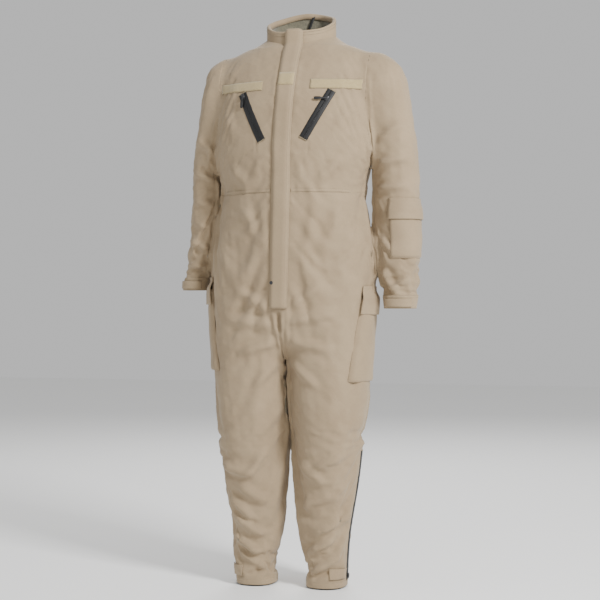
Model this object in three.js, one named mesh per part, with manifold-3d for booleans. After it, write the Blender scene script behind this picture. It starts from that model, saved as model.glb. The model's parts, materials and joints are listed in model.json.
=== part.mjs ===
// A one-piece coverall with a stand collar, as it hangs on a wearer or a form.
// Millimetres, +Z up, +Y to the wearer's back, +X to the wearer's left.
// The origin is the middle of the neck, level with the foot of the collar.
import * as THREE from "three";
import { mergeVertices } from "three/addons/utils/BufferGeometryUtils.js";
import Module from "manifold-3d";

const wasm = await Module();
wasm.setup();

// ---- Driving dimensions ----
const gap = 0.3; // clearance between pieces that touch
const wall = 3; // shell cloth with its lining
const neckHalf = 96;
const neckDepth = 78;
const neckY = 26;
const collarWall = 2.4;
const liningWall = 5;
const shoulderHalf = 204;
const chestHalf = 215;
const waistHalf = 192;
const hipHalf = 222;
const thighOuter = 216;
const kneeOuter = 189;
const hemOuter = 155;
const hemInner = 44;
const chestZ = -280;
const waistZ = -411;
const hipZ = -590;
const crotchZ = -835;
const kneeZ = -1180;
const hemZ = -1478;
const chestFrontY = -145;
const chestArc = 445; // radius of the front line between neck and chest
const leanAtTop = 10; // the hanging suit leans a little to its right
const leanPerMm = 22 / 750;
const flyWidth = 50;
const flyTopZ = 28;
const flyBottomZ = -724;
const flyCloth = 2;
const flyRise = 6; // room under the fly for the zip sliders
const zipOpening = 8;
const tapeWall = 1;
const frontTapeWidth = 12;
const breastZipLength = 152;
const breastZipWidth = 24;
const pocketDepth = 16;
const pocketHeight = 222;
const flapHeight = 75;
const flapFoot = 12;
const pocketCloth = 2;
const sleevePocketDepth = 12;
const sleevePocketHeight = 130;
const sleeveFlapHeight = 57;
const cuffHeight = 36;
const cuffCloth = 2;
const sideZipWidth = 22;
const sideZipArc = 430;
const sideZipLength = 240;
const legZipWidth = 22;
const legZipTopZ = -1110;
const hemTabWidth = 60;
const leftArm = 724; // from the origin down to the cuff of each sleeve
const rightArm = 674;
const torsoPower = 2.3;
const legPower = 2.35;
const sleevePower = 2.2;

const colours = {
  shell: "#a89c88",
  lining: "#69634f",
  black: "#1d1d1e",
  metal: "#2b2b2d",
  loop: "#b8aa8a",
};

// ---- Small helpers ----
const lean = (z) => leanAtTop + leanPerMm * (Math.max(z, flyBottomZ) - flyTopZ);
const signedPower = (value, power) => Math.sign(value) * Math.abs(value) ** power;

// The front line of the body at height z: an arc to the chest, then straight down.
function frontLine(z) {
  if (z > chestZ) {
    return chestFrontY + chestArc - Math.sqrt(chestArc ** 2 - (z - chestZ) ** 2);
  }
  return chestFrontY + (chestZ - z) * 0.025;
}

// A value between the rows of a list, on a smooth curve through them.
function between(rows, z, field) {
  let i = rows.findIndex((row, n) => n < rows.length - 1 && z >= rows[n + 1].z);
  if (i < 0) {
    i = rows.length - 2;
  }
  const slope = (n) => {
    const a = rows[Math.max(n - 1, 0)];
    const b = rows[Math.min(n + 1, rows.length - 1)];
    return (b[field] - a[field]) / (b.z - a.z);
  };
  const span = rows[i + 1].z - rows[i].z;
  const t = (z - rows[i].z) / span;
  if (t < 0 || t > 1) {
    const end = t < 0 ? i : i + 1;
    return rows[end][field] + slope(end) * (z - rows[end].z);
  }
  const h = (1 + 2 * t) * (1 - t) ** 2;
  return (
    h * rows[i][field] +
    t * (1 - t) ** 2 * span * slope(i) +
    (1 - h) * rows[i + 1][field] +
    t * t * (t - 1) * span * slope(i + 1)
  );
}

// A tube of cloth given by level sections: rows of z, centre, half width, front and back.
class Tube {
  constructor(rows, power) {
    this.rows = rows;
    this.power = power;
  }

  section(z) {
    const front = between(this.rows, z, "front");
    const back = between(this.rows, z, "back");
    return {
      x: between(this.rows, z, "x"),
      y: (front + back) / 2,
      a: Math.max(between(this.rows, z, "half"), 5),
      b: Math.max((back - front) / 2, 5),
    };
  }

  skin(angle, z) {
    const s = this.section(z);
    return new THREE.Vector3(
      s.x + s.a * signedPower(Math.sin(angle), 2 / this.power),
      s.y - s.b * signedPower(Math.cos(angle), 2 / this.power),
      z,
    );
  }

  // A point off the skin, out along its normal. The angle runs from the front to +X.
  point(angle, z, offset) {
    const step = 0.02;
    const round = this.skin(angle + step, z).sub(this.skin(angle - step, z));
    const up = this.skin(angle, z + 1).sub(this.skin(angle, z - 1));
    const normal = round.cross(up).normalize();
    return this.skin(angle, z).addScaledVector(normal, offset);
  }

  // The angle of the front point that lies x from the middle of the section.
  angleAtX(x, z) {
    const share = THREE.MathUtils.clamp((x - this.section(z).x) / this.section(z).a, -1, 1);
    return Math.asin(signedPower(share, this.power / 2));
  }

  // The angle of the outer point at depth y, on the +X side or, for side -1, the -X side.
  angleAtY(y, z, side) {
    const s = this.section(z);
    const share = THREE.MathUtils.clamp((s.y - y) / s.b, -1, 1);
    return side * Math.acos(signedPower(share, this.power / 2));
  }

  // The closed solid between two heights, its skin moved out by the offset.
  solid(offset, top, bottom, sides, levels) {
    const heights = [top, ...levels.filter((z) => z < top - 4 && z > bottom + 4), bottom];
    return closedRings(
      heights.map((z) =>
        Array.from({ length: sides }, (_, i) => {
          const p = this.point((2 * Math.PI * i) / sides, z, offset);
          return p.setZ(z === top || z === bottom ? z : p.z);
        }),
      ),
    );
  }
}

// A manifold solid from a geometry, turned so that its faces point out.
function solidOf(geometry) {
  geometry.deleteAttribute("normal");
  geometry.deleteAttribute("uv");
  const merged = mergeVertices(geometry, 1e-3);
  const p = merged.attributes.position;
  const index = Array.from(merged.index.array);
  const [a, b, c] = [new THREE.Vector3(), new THREE.Vector3(), new THREE.Vector3()];
  let volume = 0;
  for (let i = 0; i < index.length; i += 3) {
    a.fromBufferAttribute(p, index[i]);
    b.fromBufferAttribute(p, index[i + 1]);
    c.fromBufferAttribute(p, index[i + 2]);
    volume += a.dot(b.cross(c));
  }
  if (volume < 0) {
    index.reverse();
  }
  return new wasm.Manifold(
    new wasm.Mesh({ numProp: 3, vertProperties: p.array, triVerts: new Uint32Array(index) }),
  );
}

function indexed(points, index) {
  const geometry = new THREE.BufferGeometry().setFromPoints(points);
  geometry.setIndex(index);
  return geometry;
}

// A closed solid from rings of points, with a fan across each end.
function closedRings(rings) {
  const sides = rings[0].length;
  const points = rings.flat();
  const index = [];
  for (let r = 0; r < rings.length - 1; r += 1) {
    for (let i = 0; i < sides; i += 1) {
      const j = (i + 1) % sides;
      const [a, b, c, d] = [r * sides + i, r * sides + j, (r + 1) * sides + i, (r + 1) * sides + j];
      index.push(a, c, b, b, c, d);
    }
  }
  for (const [ring, turn] of [[0, 1], [rings.length - 1, -1]]) {
    const middle = new THREE.Vector3();
    rings[ring].forEach((p) => middle.addScaledVector(p, 1 / sides));
    points.push(middle);
    for (let i = 0; i < sides; i += 1) {
      const edge = [ring * sides + i, ring * sides + ((i + 1) % sides)];
      if (turn < 0) {
        edge.reverse();
      }
      index.push(points.length - 1, edge[0], edge[1]);
    }
  }
  return solidOf(indexed(points, index));
}

// A closed slab over a grid of u and v, between an inner and an outer offset of each.
function slab(pointAt, us, vs, inner, outer) {
  const points = [];
  for (const offset of [inner, outer]) {
    for (const v of vs) {
      for (const u of us) {
        points.push(pointAt(u, v, typeof offset === "function" ? offset(u, v) : offset));
      }
    }
  }
  const [columns, rows] = [us.length, vs.length];
  const at = (layer, r, c) => (layer * rows + r) * columns + c;
  const index = [];
  const quad = (a, b, c, d) => index.push(a, b, c, a, c, d);
  for (let r = 0; r < rows - 1; r += 1) {
    for (let c = 0; c < columns - 1; c += 1) {
      quad(at(1, r, c), at(1, r, c + 1), at(1, r + 1, c + 1), at(1, r + 1, c));
      quad(at(0, r, c), at(0, r + 1, c), at(0, r + 1, c + 1), at(0, r, c + 1));
    }
  }
  for (let c = 0; c < columns - 1; c += 1) {
    quad(at(0, 0, c), at(0, 0, c + 1), at(1, 0, c + 1), at(1, 0, c));
    quad(at(0, rows - 1, c + 1), at(0, rows - 1, c), at(1, rows - 1, c), at(1, rows - 1, c + 1));
  }
  for (let r = 0; r < rows - 1; r += 1) {
    quad(at(0, r + 1, 0), at(0, r, 0), at(1, r, 0), at(1, r + 1, 0));
    quad(at(0, r, columns - 1), at(0, r + 1, columns - 1), at(1, r + 1, columns - 1), at(1, r, columns - 1));
  }
  return solidOf(indexed(points, index));
}

const steps = (from, to, count) =>
  Array.from({ length: count + 1 }, (_, i) => from + ((to - from) * i) / count);

function box(x0, x1, y0, y1, z0, z1) {
  const geometry = new THREE.BoxGeometry(x1 - x0, y1 - y0, z1 - z0);
  geometry.translate((x0 + x1) / 2, (y0 + y1) / 2, (z0 + z1) / 2);
  return solidOf(geometry);
}

// A slab in the plane of the front line that follows the lean, for cutting the suit down its middle.
function middleCut(width, top, bottom, y0, y1) {
  const right = [top, Math.max(bottom, flyBottomZ), bottom].map((z) => [lean(z) - width / 2, z]);
  const left = [bottom, Math.max(bottom, flyBottomZ), top].map((z) => [lean(z) + width / 2, z]);
  const shape = new THREE.Shape([...right, ...left].map(([x, z]) => new THREE.Vector2(x, z)));
  return across(shape, y0, y1);
}

// A shape in the X and Z plane, given its width along Y.
function across(shape, y0, y1) {
  const geometry = new THREE.ExtrudeGeometry(shape, { depth: y1 - y0, bevelEnabled: false });
  geometry.rotateX(Math.PI / 2);
  geometry.translate(0, y1, 0);
  return solidOf(geometry);
}

// The largest body of a solid that a cut has left with crumbs.
function largest(solid) {
  return solid.decompose().reduce((a, b) => (b.volume() > a.volume() ? b : a));
}

const group = new THREE.Group();

function add(name, solid, colour, parent = group) {
  const mesh = solid.getMesh();
  const geometry = new THREE.BufferGeometry();
  geometry.setAttribute("position", new THREE.BufferAttribute(mesh.vertProperties, 3));
  geometry.setIndex(new THREE.BufferAttribute(mesh.triVerts, 1));
  const metal = colour === "metal";
  const material = new THREE.MeshStandardMaterial({
    color: colours[colour],
    roughness: metal ? 0.4 : 0.85,
    metalness: metal ? 0.8 : 0,
  });
  const piece = new THREE.Mesh(geometry, material);
  piece.name = name;
  parent.add(piece);
  return piece;
}

// ---- The body of the suit ----
const torsoRow = (z, half, back) => ({ z, x: lean(z), half, front: frontLine(z), back });
const torso = new Tube(
  [
    torsoRow(60, neckHalf - 36, 84),
    torsoRow(30, neckHalf - 6, 103),
    torsoRow(12, neckHalf + 14, 109),
    torsoRow(-2, neckHalf + 36, 111),
    torsoRow(-14, shoulderHalf - 44, 112),
    torsoRow(-26, shoulderHalf - 18, 113),
    torsoRow(-44, shoulderHalf, 114),
    torsoRow(-80, shoulderHalf + 6, 117),
    torsoRow(-170, chestHalf - 3, 123),
    torsoRow(chestZ, chestHalf, 125),
    torsoRow((chestZ + waistZ) / 2, (chestHalf + waistHalf) / 2, 120),
    torsoRow(waistZ, waistHalf, 114),
  ],
  torsoPower,
);
const pelvis = new Tube(
  [
    torsoRow(waistZ, waistHalf, 114),
    torsoRow((waistZ + hipZ) / 2, (waistHalf + hipHalf) / 2, 121),
    torsoRow(hipZ, hipHalf - 1, 130),
    torsoRow(hipZ - 100, hipHalf + 1, 129),
    torsoRow(hipZ - 180, thighOuter - 4, 120),
    { z: crotchZ, x: lean(crotchZ), half: thighOuter - 60, front: -98, back: 92 },
  ],
  torsoPower,
);

function legRow(side, z, inner, outer, front, back) {
  return { z, x: lean(z) + (side * (inner + outer)) / 2, half: (outer - inner) / 2, front, back };
}
const legOf = (side) =>
  new Tube(
    [
      legRow(side, waistZ, 6, waistHalf + 1.5, -116, 98),
      legRow(side, (waistZ + hipZ) / 2, 6, (waistHalf + hipHalf) / 2 + 1.5, -117, 106),
      legRow(side, hipZ, 6, hipHalf + 1.5, -120, 112),
      legRow(side, hipZ - 100, 7, hipHalf + 3, -122, 112),
      legRow(side, crotchZ, 9, thighOuter, -121, 110),
      legRow(side, (crotchZ + kneeZ) / 2, 16, (thighOuter + kneeOuter) / 2 + 4, -113, 98),
      legRow(side, kneeZ, 25, kneeOuter, -97, 86),
      legRow(side, (kneeZ + hemZ) / 2, 38, (kneeOuter + hemOuter) / 2 - 8, -76, 75),
      legRow(side, hemZ + 78, hemInner - 1, hemOuter + 3, -68, 70),
      legRow(side, hemZ, hemInner, hemOuter, -64, 66),
    ],
    legPower,
  );

function armRow(side, z, inner, outer, front, back) {
  return { z, x: (side * (inner + outer)) / 2, half: (outer - inner) / 2, front, back };
}
// Each sleeve hangs by itself: the left one hangs fuller and lower, and further from the body.
const leftSleeve = new Tube(
  [
    armRow(1, -30, shoulderHalf - 30, shoulderHalf + 36, -16, 45),
    armRow(1, -55, shoulderHalf - 44, shoulderHalf + 76, -44, 72),
    armRow(1, -90, shoulderHalf - 46, shoulderHalf + 97, -58, 82),
    armRow(1, -160, shoulderHalf - 32, shoulderHalf + 111, -62, 84),
    armRow(1, -264, chestHalf + 4, chestHalf + 118, -60, 78),
    armRow(1, -399, chestHalf + 11, chestHalf + 132, -58, 70),
    armRow(1, -480, chestHalf + 9, chestHalf + 136, -62, 66),
    armRow(1, -553, chestHalf + 11, chestHalf + 140, -64, 60),
    armRow(1, -610, chestHalf + 17, chestHalf + 135, -62, 52),
    armRow(1, -665, chestHalf + 30, chestHalf + 129, -58, 42),
    armRow(1, -leftArm, chestHalf + 36, chestHalf + 121, -54, 36),
  ],
  sleevePower,
);
const rightSleeve = new Tube(
  [
    armRow(-1, -34, shoulderHalf - 40, shoulderHalf + 20, -16, 48),
    armRow(-1, -60, shoulderHalf - 50, shoulderHalf + 44, -44, 72),
    armRow(-1, -90, shoulderHalf - 50, shoulderHalf + 54, -55, 80),
    armRow(-1, -137, shoulderHalf - 40, shoulderHalf + 63, -58, 84),
    armRow(-1, -245, chestHalf - 12, chestHalf + 69, -54, 80),
    armRow(-1, -290, chestHalf + 5, chestHalf + 75, -52, 78),
    armRow(-1, -382, chestHalf + 2, chestHalf + 86, -48, 74),
    armRow(-1, -481, chestHalf + 5, chestHalf + 98, -44, 73),
    armRow(-1, -569, chestHalf + 26, chestHalf + 108, -36, 72),
    armRow(-1, -638, chestHalf + 45, chestHalf + 114, -26, 68),
    armRow(-1, -rightArm, chestHalf + 49, chestHalf + 118, -22, 64),
  ],
  sleevePower,
);

const torsoSides = 32;
const legSides = 20;
const sleeveSides = 16;
const torsoLevels = [30, 12, 2, -8, -17, -27, -42, -80, -130, -200, chestZ, -345];
const trouserLevels = [-500, hipZ, -690, -770, crotchZ, -920, -1020, -1100, kneeZ, -1255, -1330, -1400];
const sleeveLevels = [-44, -58, -90, -140, -200, -245, -290, -340, -399, -480, -553, -610, -665];

// ---- Cutters that part the cloth at its seams ----
const far = 600;
const sideSeamY = 6;
const frontSide = box(-far, far, -far, sideSeamY - gap / 2, -2 * far - far, far);
const backSide = box(-far, far, sideSeamY + gap / 2, far, -2 * far - far, far);
const seamCut = middleCut(gap, 100, hemZ - 20, -far, far);
const zipCut = middleCut(zipOpening, 100, flyBottomZ, -far, 0);
const sideOf = (side) => {
  const mark = [100, flyBottomZ, hemZ - 20];
  const edge = mark.map((z) => new THREE.Vector2(lean(z), z));
  const outline = [...edge, new THREE.Vector2(side * far, hemZ - 20), new THREE.Vector2(side * far, 100)];
  return across(new THREE.Shape(outline), -far, far);
};
const halves = { right: sideOf(-1), left: sideOf(1) };

// The hole for the neck, and the solids that the armholes take from the torso.
const collarFoot = (angle) => -18 * Math.cos(angle);
const collarTop = (angle) => 66 - 38 * Math.cos(angle);
function collarPoint(angle, t, offset) {
  const z = collarFoot(angle) + t * (collarTop(angle) - collarFoot(angle));
  return new THREE.Vector3(
    lean(0) + (neckHalf + offset) * Math.sin(angle),
    neckY - (neckDepth + offset) * Math.cos(angle),
    z,
  );
}
const neckHole = closedRings(
  [130, -60].map((z) => steps(0, 2 * Math.PI, 48).slice(1).map((a) => collarPoint(a, 0, gap).setZ(z))),
);
const sleeveTops = { right: -34, left: -30 };
const sleeves = { right: rightSleeve, left: leftSleeve };
const armLength = { right: rightArm, left: leftArm };
const sleeveSolid = (name, offset, bottomExtra) =>
  sleeves[name].solid(offset, sleeveTops[name], -armLength[name] - bottomExtra, sleeveSides, sleeveLevels);

const torsoOuter = torso.solid(0, 60, waistZ + gap / 2, torsoSides, torsoLevels);
const torsoInner = torso.solid(-wall, 58, waistZ - 10, torsoSides, torsoLevels);
const torsoGrown = torso.solid(gap, 61, waistZ, torsoSides, torsoLevels);
const torsoLiner = torso.solid(-wall - gap, 57, waistZ + 1, torsoSides, torsoLevels);
let torsoShell = torsoOuter.subtract(torsoInner).subtract(neckHole);
for (const name of ["right", "left"]) {
  torsoShell = torsoShell.subtract(sleeveSolid(name, 0, 0));
}

const legs = { right: legOf(-1), left: legOf(1) };
const trouserTop = waistZ - gap / 2;
const trousersAt = (offset, top, bottomExtra, pelvisBottom) =>
  pelvis
    .solid(offset, top, pelvisBottom, torsoSides, trouserLevels)
    .add(legs.right.solid(offset, top, hemZ - bottomExtra, legSides, trouserLevels))
    .add(legs.left.solid(offset, top, hemZ - bottomExtra, legSides, trouserLevels));
const bodyGrown = trousersAt(gap, trouserTop + gap, 5, crotchZ - gap)
  .add(torsoGrown)
  .add(sleeveSolid("right", gap, 5))
  .add(sleeveSolid("left", gap, 5));
// A piece laid on the suit: whatever would reach into the cloth is taken off its back.
const laid = (piece) => largest(piece.subtract(bodyGrown));
const trouserShell = trousersAt(0, trouserTop, 0, crotchZ).subtract(
  trousersAt(-wall, trouserTop + 10, 10, crotchZ + wall),
);

// ---- Zips let into the cloth: a straight tape along a chord, in a frame of its own ----
function chordFrame(top, bottom, outward, lift) {
  const along = bottom.clone().sub(top);
  const length = along.length();
  along.normalize();
  const normal = outward.clone().addScaledVector(along, -outward.dot(along)).normalize();
  const side = new THREE.Vector3().crossVectors(normal, along);
  const frame = new THREE.Group();
  frame.matrixAutoUpdate = false;
  frame.matrix.makeBasis(side, normal, along);
  frame.matrix.setPosition(top.clone().addScaledVector(normal, lift));
  return { frame, length, side, normal, along };
}

// A box in a frame: across, out from the cloth, and along the zip from its top.
function framedBox(frame, across0, across1, out0, out1, along0, along1) {
  const geometry = new THREE.BoxGeometry(across1 - across0, out1 - out0, along1 - along0);
  geometry.translate((across0 + across1) / 2, (out0 + out1) / 2, (along0 + along1) / 2);
  geometry.applyMatrix4(frame.matrix);
  return solidOf(geometry);
}

const breastTop = { x: 124, z: -145 };
const breastSlope = Math.atan2(69.5, 136);
const breastFrames = {};
for (const [name, side] of [["right", -1], ["left", 1]]) {
  const ends = [0, breastZipLength].map((length) => {
    const z = breastTop.z - length * Math.cos(breastSlope);
    const x = lean(z) + side * (breastTop.x - length * Math.sin(breastSlope));
    return torso.skin(torso.angleAtX(x, z), z);
  });
  const middle = ends[0].clone().add(ends[1]).multiplyScalar(0.5);
  const angle = torso.angleAtX(middle.x, middle.z);
  const onSkin = torso.skin(angle, middle.z);
  const outward = torso.point(angle, middle.z, 1).sub(onSkin);
  const sag = onSkin.clone().sub(middle).dot(outward);
  breastFrames[name] = chordFrame(ends[0], ends[1], outward, sag / 2);
}
const breastHalf = breastZipWidth / 2;
for (const { frame } of Object.values(breastFrames)) {
  const hole = framedBox(frame, -breastHalf - gap, breastHalf + gap, -30, 30, -gap, breastZipLength + gap);
  torsoShell = torsoShell.subtract(hole);
}

// The side zip lies on the waist's hollow: an arc whose middle is outside the suit.
const sideZipMiddleZ = -408;
const sideZipTurn = sideZipLength / sideZipArc;
function sideZipMiddle(side) {
  return { x: lean(sideZipMiddleZ) + side * (waistHalf + 1 + sideZipArc), z: sideZipMiddleZ };
}
// A sector of the arc from one turn to another, between two radii.
function sideSector(side, from, to, near, farOut, y0, y1) {
  const centre = sideZipMiddle(side);
  const spot = (turn, radius) =>
    new THREE.Vector2(centre.x - side * radius * Math.cos(turn), centre.z - radius * Math.sin(turn));
  const turns = steps(from, to, Math.max(1, Math.round((to - from) / 0.05)));
  const outline = [
    ...turns.map((turn) => spot(turn, near)),
    ...turns.map((turn) => spot(turn, farOut)).reverse(),
  ];
  return across(new THREE.Shape(outline), y0, y1);
}
for (const side of [-1, 1]) {
  const [y0, y1] = [sideSeamY - sideZipWidth / 2 - gap, sideSeamY + sideZipWidth / 2 + gap];
  const margin = gap / sideZipArc;
  const hole = sideSector(
    side, -sideZipTurn / 2 - margin, sideZipTurn / 2 + margin, sideZipArc - 16, sideZipArc + 20, y0, y1,
  );
  torsoShell = torsoShell.subtract(hole);
  legs[side < 0 ? "right" : "left"].sideHole = hole;
}

const legFrames = {};
let trousers = trouserShell.subtract(legs.right.sideHole).subtract(legs.left.sideHole);
const legZipBottomZ = hemZ + 16;
for (const [name, side] of [["right", -1], ["left", 1]]) {
  const spots = [legZipTopZ, (legZipTopZ + legZipBottomZ) / 2, legZipBottomZ].map((z) => {
    const p = legs[name].skin(legs[name].angleAtY(sideSeamY, z, side), z);
    return p.setY(sideSeamY);
  });
  const outward = new THREE.Vector3(side, 0, 0);
  const sag = spots[1].x - (spots[0].x + spots[2].x) / 2;
  legFrames[name] = chordFrame(spots[0], spots[2], outward, (side * sag) / 2);
  const half = legZipWidth / 2 + gap;
  const hole = framedBox(legFrames[name].frame, -half, half, -30, 30, -gap, legFrames[name].length + gap);
  trousers = trousers.subtract(hole);
}

// ---- The shell's panels ----
const upperFront = torsoShell.intersect(frontSide).subtract(zipCut);
add("right_front_panel", largest(upperFront.intersect(halves.right)), "shell");
add("left_front_panel", largest(upperFront.intersect(halves.left)), "shell");
add("back_panel", largest(torsoShell.intersect(backSide)), "shell");
const trouserFront = trousers.intersect(frontSide).subtract(seamCut).subtract(zipCut);
const trouserBack = trousers.intersect(backSide).subtract(seamCut);
for (const name of ["right", "left"]) {
  add(name + "_trouser_front", largest(trouserFront.intersect(halves[name])), "shell");
  add(name + "_trouser_back", largest(trouserBack.intersect(halves[name])), "shell");
  const tube = sleeveSolid(name, 0, 0).subtract(sleeves[name].solid(
    -wall, sleeveTops[name] - 1, -armLength[name] - 10, sleeveSides, sleeveLevels,
  ));
  add(name + "_sleeve", largest(tube.subtract(torsoGrown).subtract(neckHole)), "shell");
}

// ---- The collar ----
const collarOpen = 0.1;
const collarTurn = steps(collarOpen, 2 * Math.PI - collarOpen, 32);
add("collar_shell", slab(collarPoint, collarTurn, [0, 0.5, 1], -collarWall, 0), "shell");
const liningOut = -collarWall - gap;
add(
  "collar_lining",
  slab(collarPoint, collarTurn, [0, 0.5, 1], liningOut - liningWall, liningOut),
  "lining",
);
const loopAngle = (x) => Math.PI - x / neckHalf;
add(
  "hanger_loop",
  slab(
    (u, v, offset) => collarPoint(loopAngle(u + 24 * v), v, offset),
    steps(-9, -1, 1),
    steps(0.42, 0.92, 4),
    liningOut - liningWall - 2 * gap - 1.6,
    liningOut - liningWall - 2 * gap,
  ),
  "black",
);

// ---- The front closure and its storm fly ----
const collarFrontY = neckY - neckDepth - 2;
const closureLine = (z) => Math.min(frontLine(z), collarFrontY);
function closurePoint(x, z, offset) {
  const slope = (closureLine(z + 1) - closureLine(z - 1)) / 2;
  const out = new THREE.Vector2(-1, slope).normalize();
  return new THREE.Vector3(lean(z) + x, closureLine(z) + offset * out.x, z + offset * out.y);
}
const closureLevels = (top, bottom) =>
  [top, 10, -8, -30, -55, -85, -120, -160, -200, -240, chestZ, bottom].filter((z) => z <= top && z >= bottom);
const tapeBottom = flyBottomZ + 10;
for (const [name, side] of [["right", -1], ["left", 1]]) {
  const edges = [side, side * (1 + frontTapeWidth)].sort((a, b) => a - b);
  const tape = slab(closurePoint, edges, closureLevels(flyTopZ - 4, tapeBottom), gap, gap + tapeWall);
  add("front_zip_tape_" + name, laid(tape), "black");
}
const sliderOut = gap + tapeWall + gap;
const sliderTall = 3;
const sliderLong = 14;
// The upper slider, near the neck, and the lower one at the foot of the zip.
const upperSliderZ = -30;
const lowerSliderZ = tapeBottom + 4;
for (const [name, z] of [["upper", upperSliderZ], ["lower", lowerSliderZ + sliderLong]]) {
  const body = slab(closurePoint, [-5, 5], [z, z - sliderLong], sliderOut, sliderOut + sliderTall);
  add("front_zip_" + name + "_slider", body, "metal");
}

const half = flyWidth / 2;
const flyFlat = half - 8; // half the width of the fly's flat crown
const flyColumns = [-half, 3 - half, -flyFlat, flyFlat, half - 3, half];
// Near the neck, where the front line leans back, the sewn edge is held off the zip as well.
const flyInner = (x, z) => {
  if (Math.abs(x) < flyFlat + 1) {
    return flyRise;
  }
  if (x < 0) {
    return gap + 0.4;
  }
  return z > -90 ? flyRise - 0.8 : z > -210 ? gap + tapeWall + 0.5 : 0;
};
add(
  "storm_fly",
  laid(
    slab(closurePoint, flyColumns, closureLevels(flyTopZ, flyBottomZ), flyInner, (x, z) => flyInner(x, z) + flyCloth),
  ),
  "shell",
);

// The loop patch on the fly is flat: a plate along the chord of the front line.
const patchTop = -96;
const patchSize = 36;
const patchEnds = [patchTop, patchTop - patchSize].map((z) => closurePoint(0, z, flyRise + flyCloth));
const patch = chordFrame(patchEnds[0], patchEnds[1], new THREE.Vector3(0, -1, 0), gap + 0.4);
add("fly_loop_patch", framedBox(patch.frame, 1 - flyFlat, flyFlat - 1, 0, 1.2, 0, patch.length), "loop");

// ---- Breast zips, name tape strips and pocket bags ----
const pullerLong = 34;
const pullerTurn = { right: -0.47, left: -1.06 }; // each puller's swing from its zip at rest
for (const [name, side] of [["right", -1], ["left", 1]]) {
  const { frame } = breastFrames[name];
  const tape = framedBox(frame, -breastHalf, breastHalf, -0.8, 0.8, 0, breastZipLength);
  add(name + "_breast_zip_tape", tape, "black");
  const at = side < 0 ? 4 : 22;
  const slider = framedBox(frame, -5, 5, 0.8 + gap, 4.4, at, at + sliderLong);
  add(name + "_breast_zip_slider", slider, "metal");
  const pin = new THREE.Matrix4().makeRotationY(pullerTurn[name]);
  pin.premultiply(frame.matrix.clone().multiply(new THREE.Matrix4().makeTranslation(0, 0, at + sliderLong / 2)));
  const puller = framedBox({ matrix: pin }, -2.5, 2.5, 4.4 + gap, 6.4, -3, pullerLong);
  add(name + "_breast_zip_puller", puller, "black");

  const strip = (u, z, offset) => torso.point(torso.angleAtX(lean(z) + side * u, z), z, offset);
  const stripSolid = slab(strip, steps(66, 192, 8), [-114, -140], -1, gap + 1.4);
  add(name + "_breast_loop_strip", laid(stripSolid), "loop");

  const bag = slab(
    (u, z, offset) => torso.point(torso.angleAtX(lean(z) + side * u, z), z, offset),
    steps(44, 150, 6), [-130, -180, -240, -300, -345], -wall - gap - 2, -1,
  );
  const clear = framedBox(frame, -breastHalf - 1, breastHalf + 1, -5.6, 30, -2, breastZipLength + 2);
  add(name + "_breast_pocket_bag", largest(bag.intersect(torsoLiner).subtract(clear)), "shell");
}

// ---- Cargo pockets and their flaps ----
const cargoTop = { right: -638, left: -664 };
for (const [name, side] of [["right", -1], ["left", 1]]) {
  const leg = legs[name];
  const top = cargoTop[name];
  const frontEdge = (z) => -58 - (36 * (top - z)) / (flapHeight + pocketHeight);
  const onLeg = (u, z, offset) => {
    const y = frontEdge(z) + u * (82 - frontEdge(z));
    return leg.point(leg.angleAtY(y, z, side), z, offset);
  };
  const pocketTop = top - 34;
  const pocketBottom = pocketTop - pocketHeight;
  const rows = steps(pocketTop, pocketBottom, 3);
  const outside = slab(onLeg, steps(0, 1, 8), rows, -1, gap + pocketDepth);
  const inside = slab(
    onLeg, steps(0.02, 0.98, 8), [pocketTop + 10, ...rows.slice(1, 3), pocketBottom + pocketCloth],
    gap + pocketCloth, gap + pocketDepth - pocketCloth,
  );
  add(name + "_cargo_pocket", laid(outside.subtract(inside)), "shell");
  const over = gap + pocketDepth + gap + 0.5;
  const drop = (z) => top - z;
  const flapInner = (u, z) => (drop(z) < flapFoot + 1 ? -1 : over);
  const flapRows = [top, top - flapFoot, top - flapFoot - 12, top - flapHeight];
  const flapOuter = (u, z) => Math.max(flapInner(u, z), gap) + pocketCloth;
  const flap = slab(onLeg, steps(-0.02, 1.02, 8), flapRows, flapInner, flapOuter);
  // The flap keeps clear of the pocket's own facets, however the leg curves.
  const pocketRoom = slab(onLeg, [-0.01, ...steps(0, 1, 8), 1.01], rows, -2, 2 * gap + pocketDepth);
  add(name + "_cargo_flap", largest(laid(flap).subtract(pocketRoom)), "shell");
}

// ---- The sleeve pocket on the wearer's left ----
const sleeveTop = -429;
const onSleeve = (u, z, offset) => leftSleeve.point(u, z, offset);
const sleeveEdges = [-0.2, 1.75];
const sleevePocketTop = sleeveTop - 30;
const sleeveRows = steps(sleevePocketTop, sleevePocketTop - sleevePocketHeight, 3);
const sleevePocketOutside = slab(
  onSleeve, steps(...sleeveEdges, 8), sleeveRows, -1, gap + sleevePocketDepth,
);
const sleevePocketInside = slab(
  onSleeve, steps(sleeveEdges[0] + 0.03, sleeveEdges[1] - 0.03, 8),
  [sleevePocketTop + 10, ...sleeveRows.slice(1, 3), sleeveRows[3] + pocketCloth],
  gap + pocketCloth, gap + sleevePocketDepth - pocketCloth,
);
add("left_sleeve_pocket", laid(sleevePocketOutside.subtract(sleevePocketInside)), "shell");
const sleeveFlapInner = (u, z) => (sleeveTop - z < flapFoot + 1 ? -1 : sleevePocketDepth + 2 * gap + 0.5);
const sleeveFlap = slab(
  onSleeve, steps(sleeveEdges[0] - 0.02, sleeveEdges[1] + 0.02, 8),
  [sleeveTop, sleeveTop - flapFoot, sleeveTop - flapFoot - 10, sleeveTop - sleeveFlapHeight],
  sleeveFlapInner, (u, z) => Math.max(sleeveFlapInner(u, z), gap) + pocketCloth,
);
add("left_sleeve_flap", laid(sleeveFlap), "shell");

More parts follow.
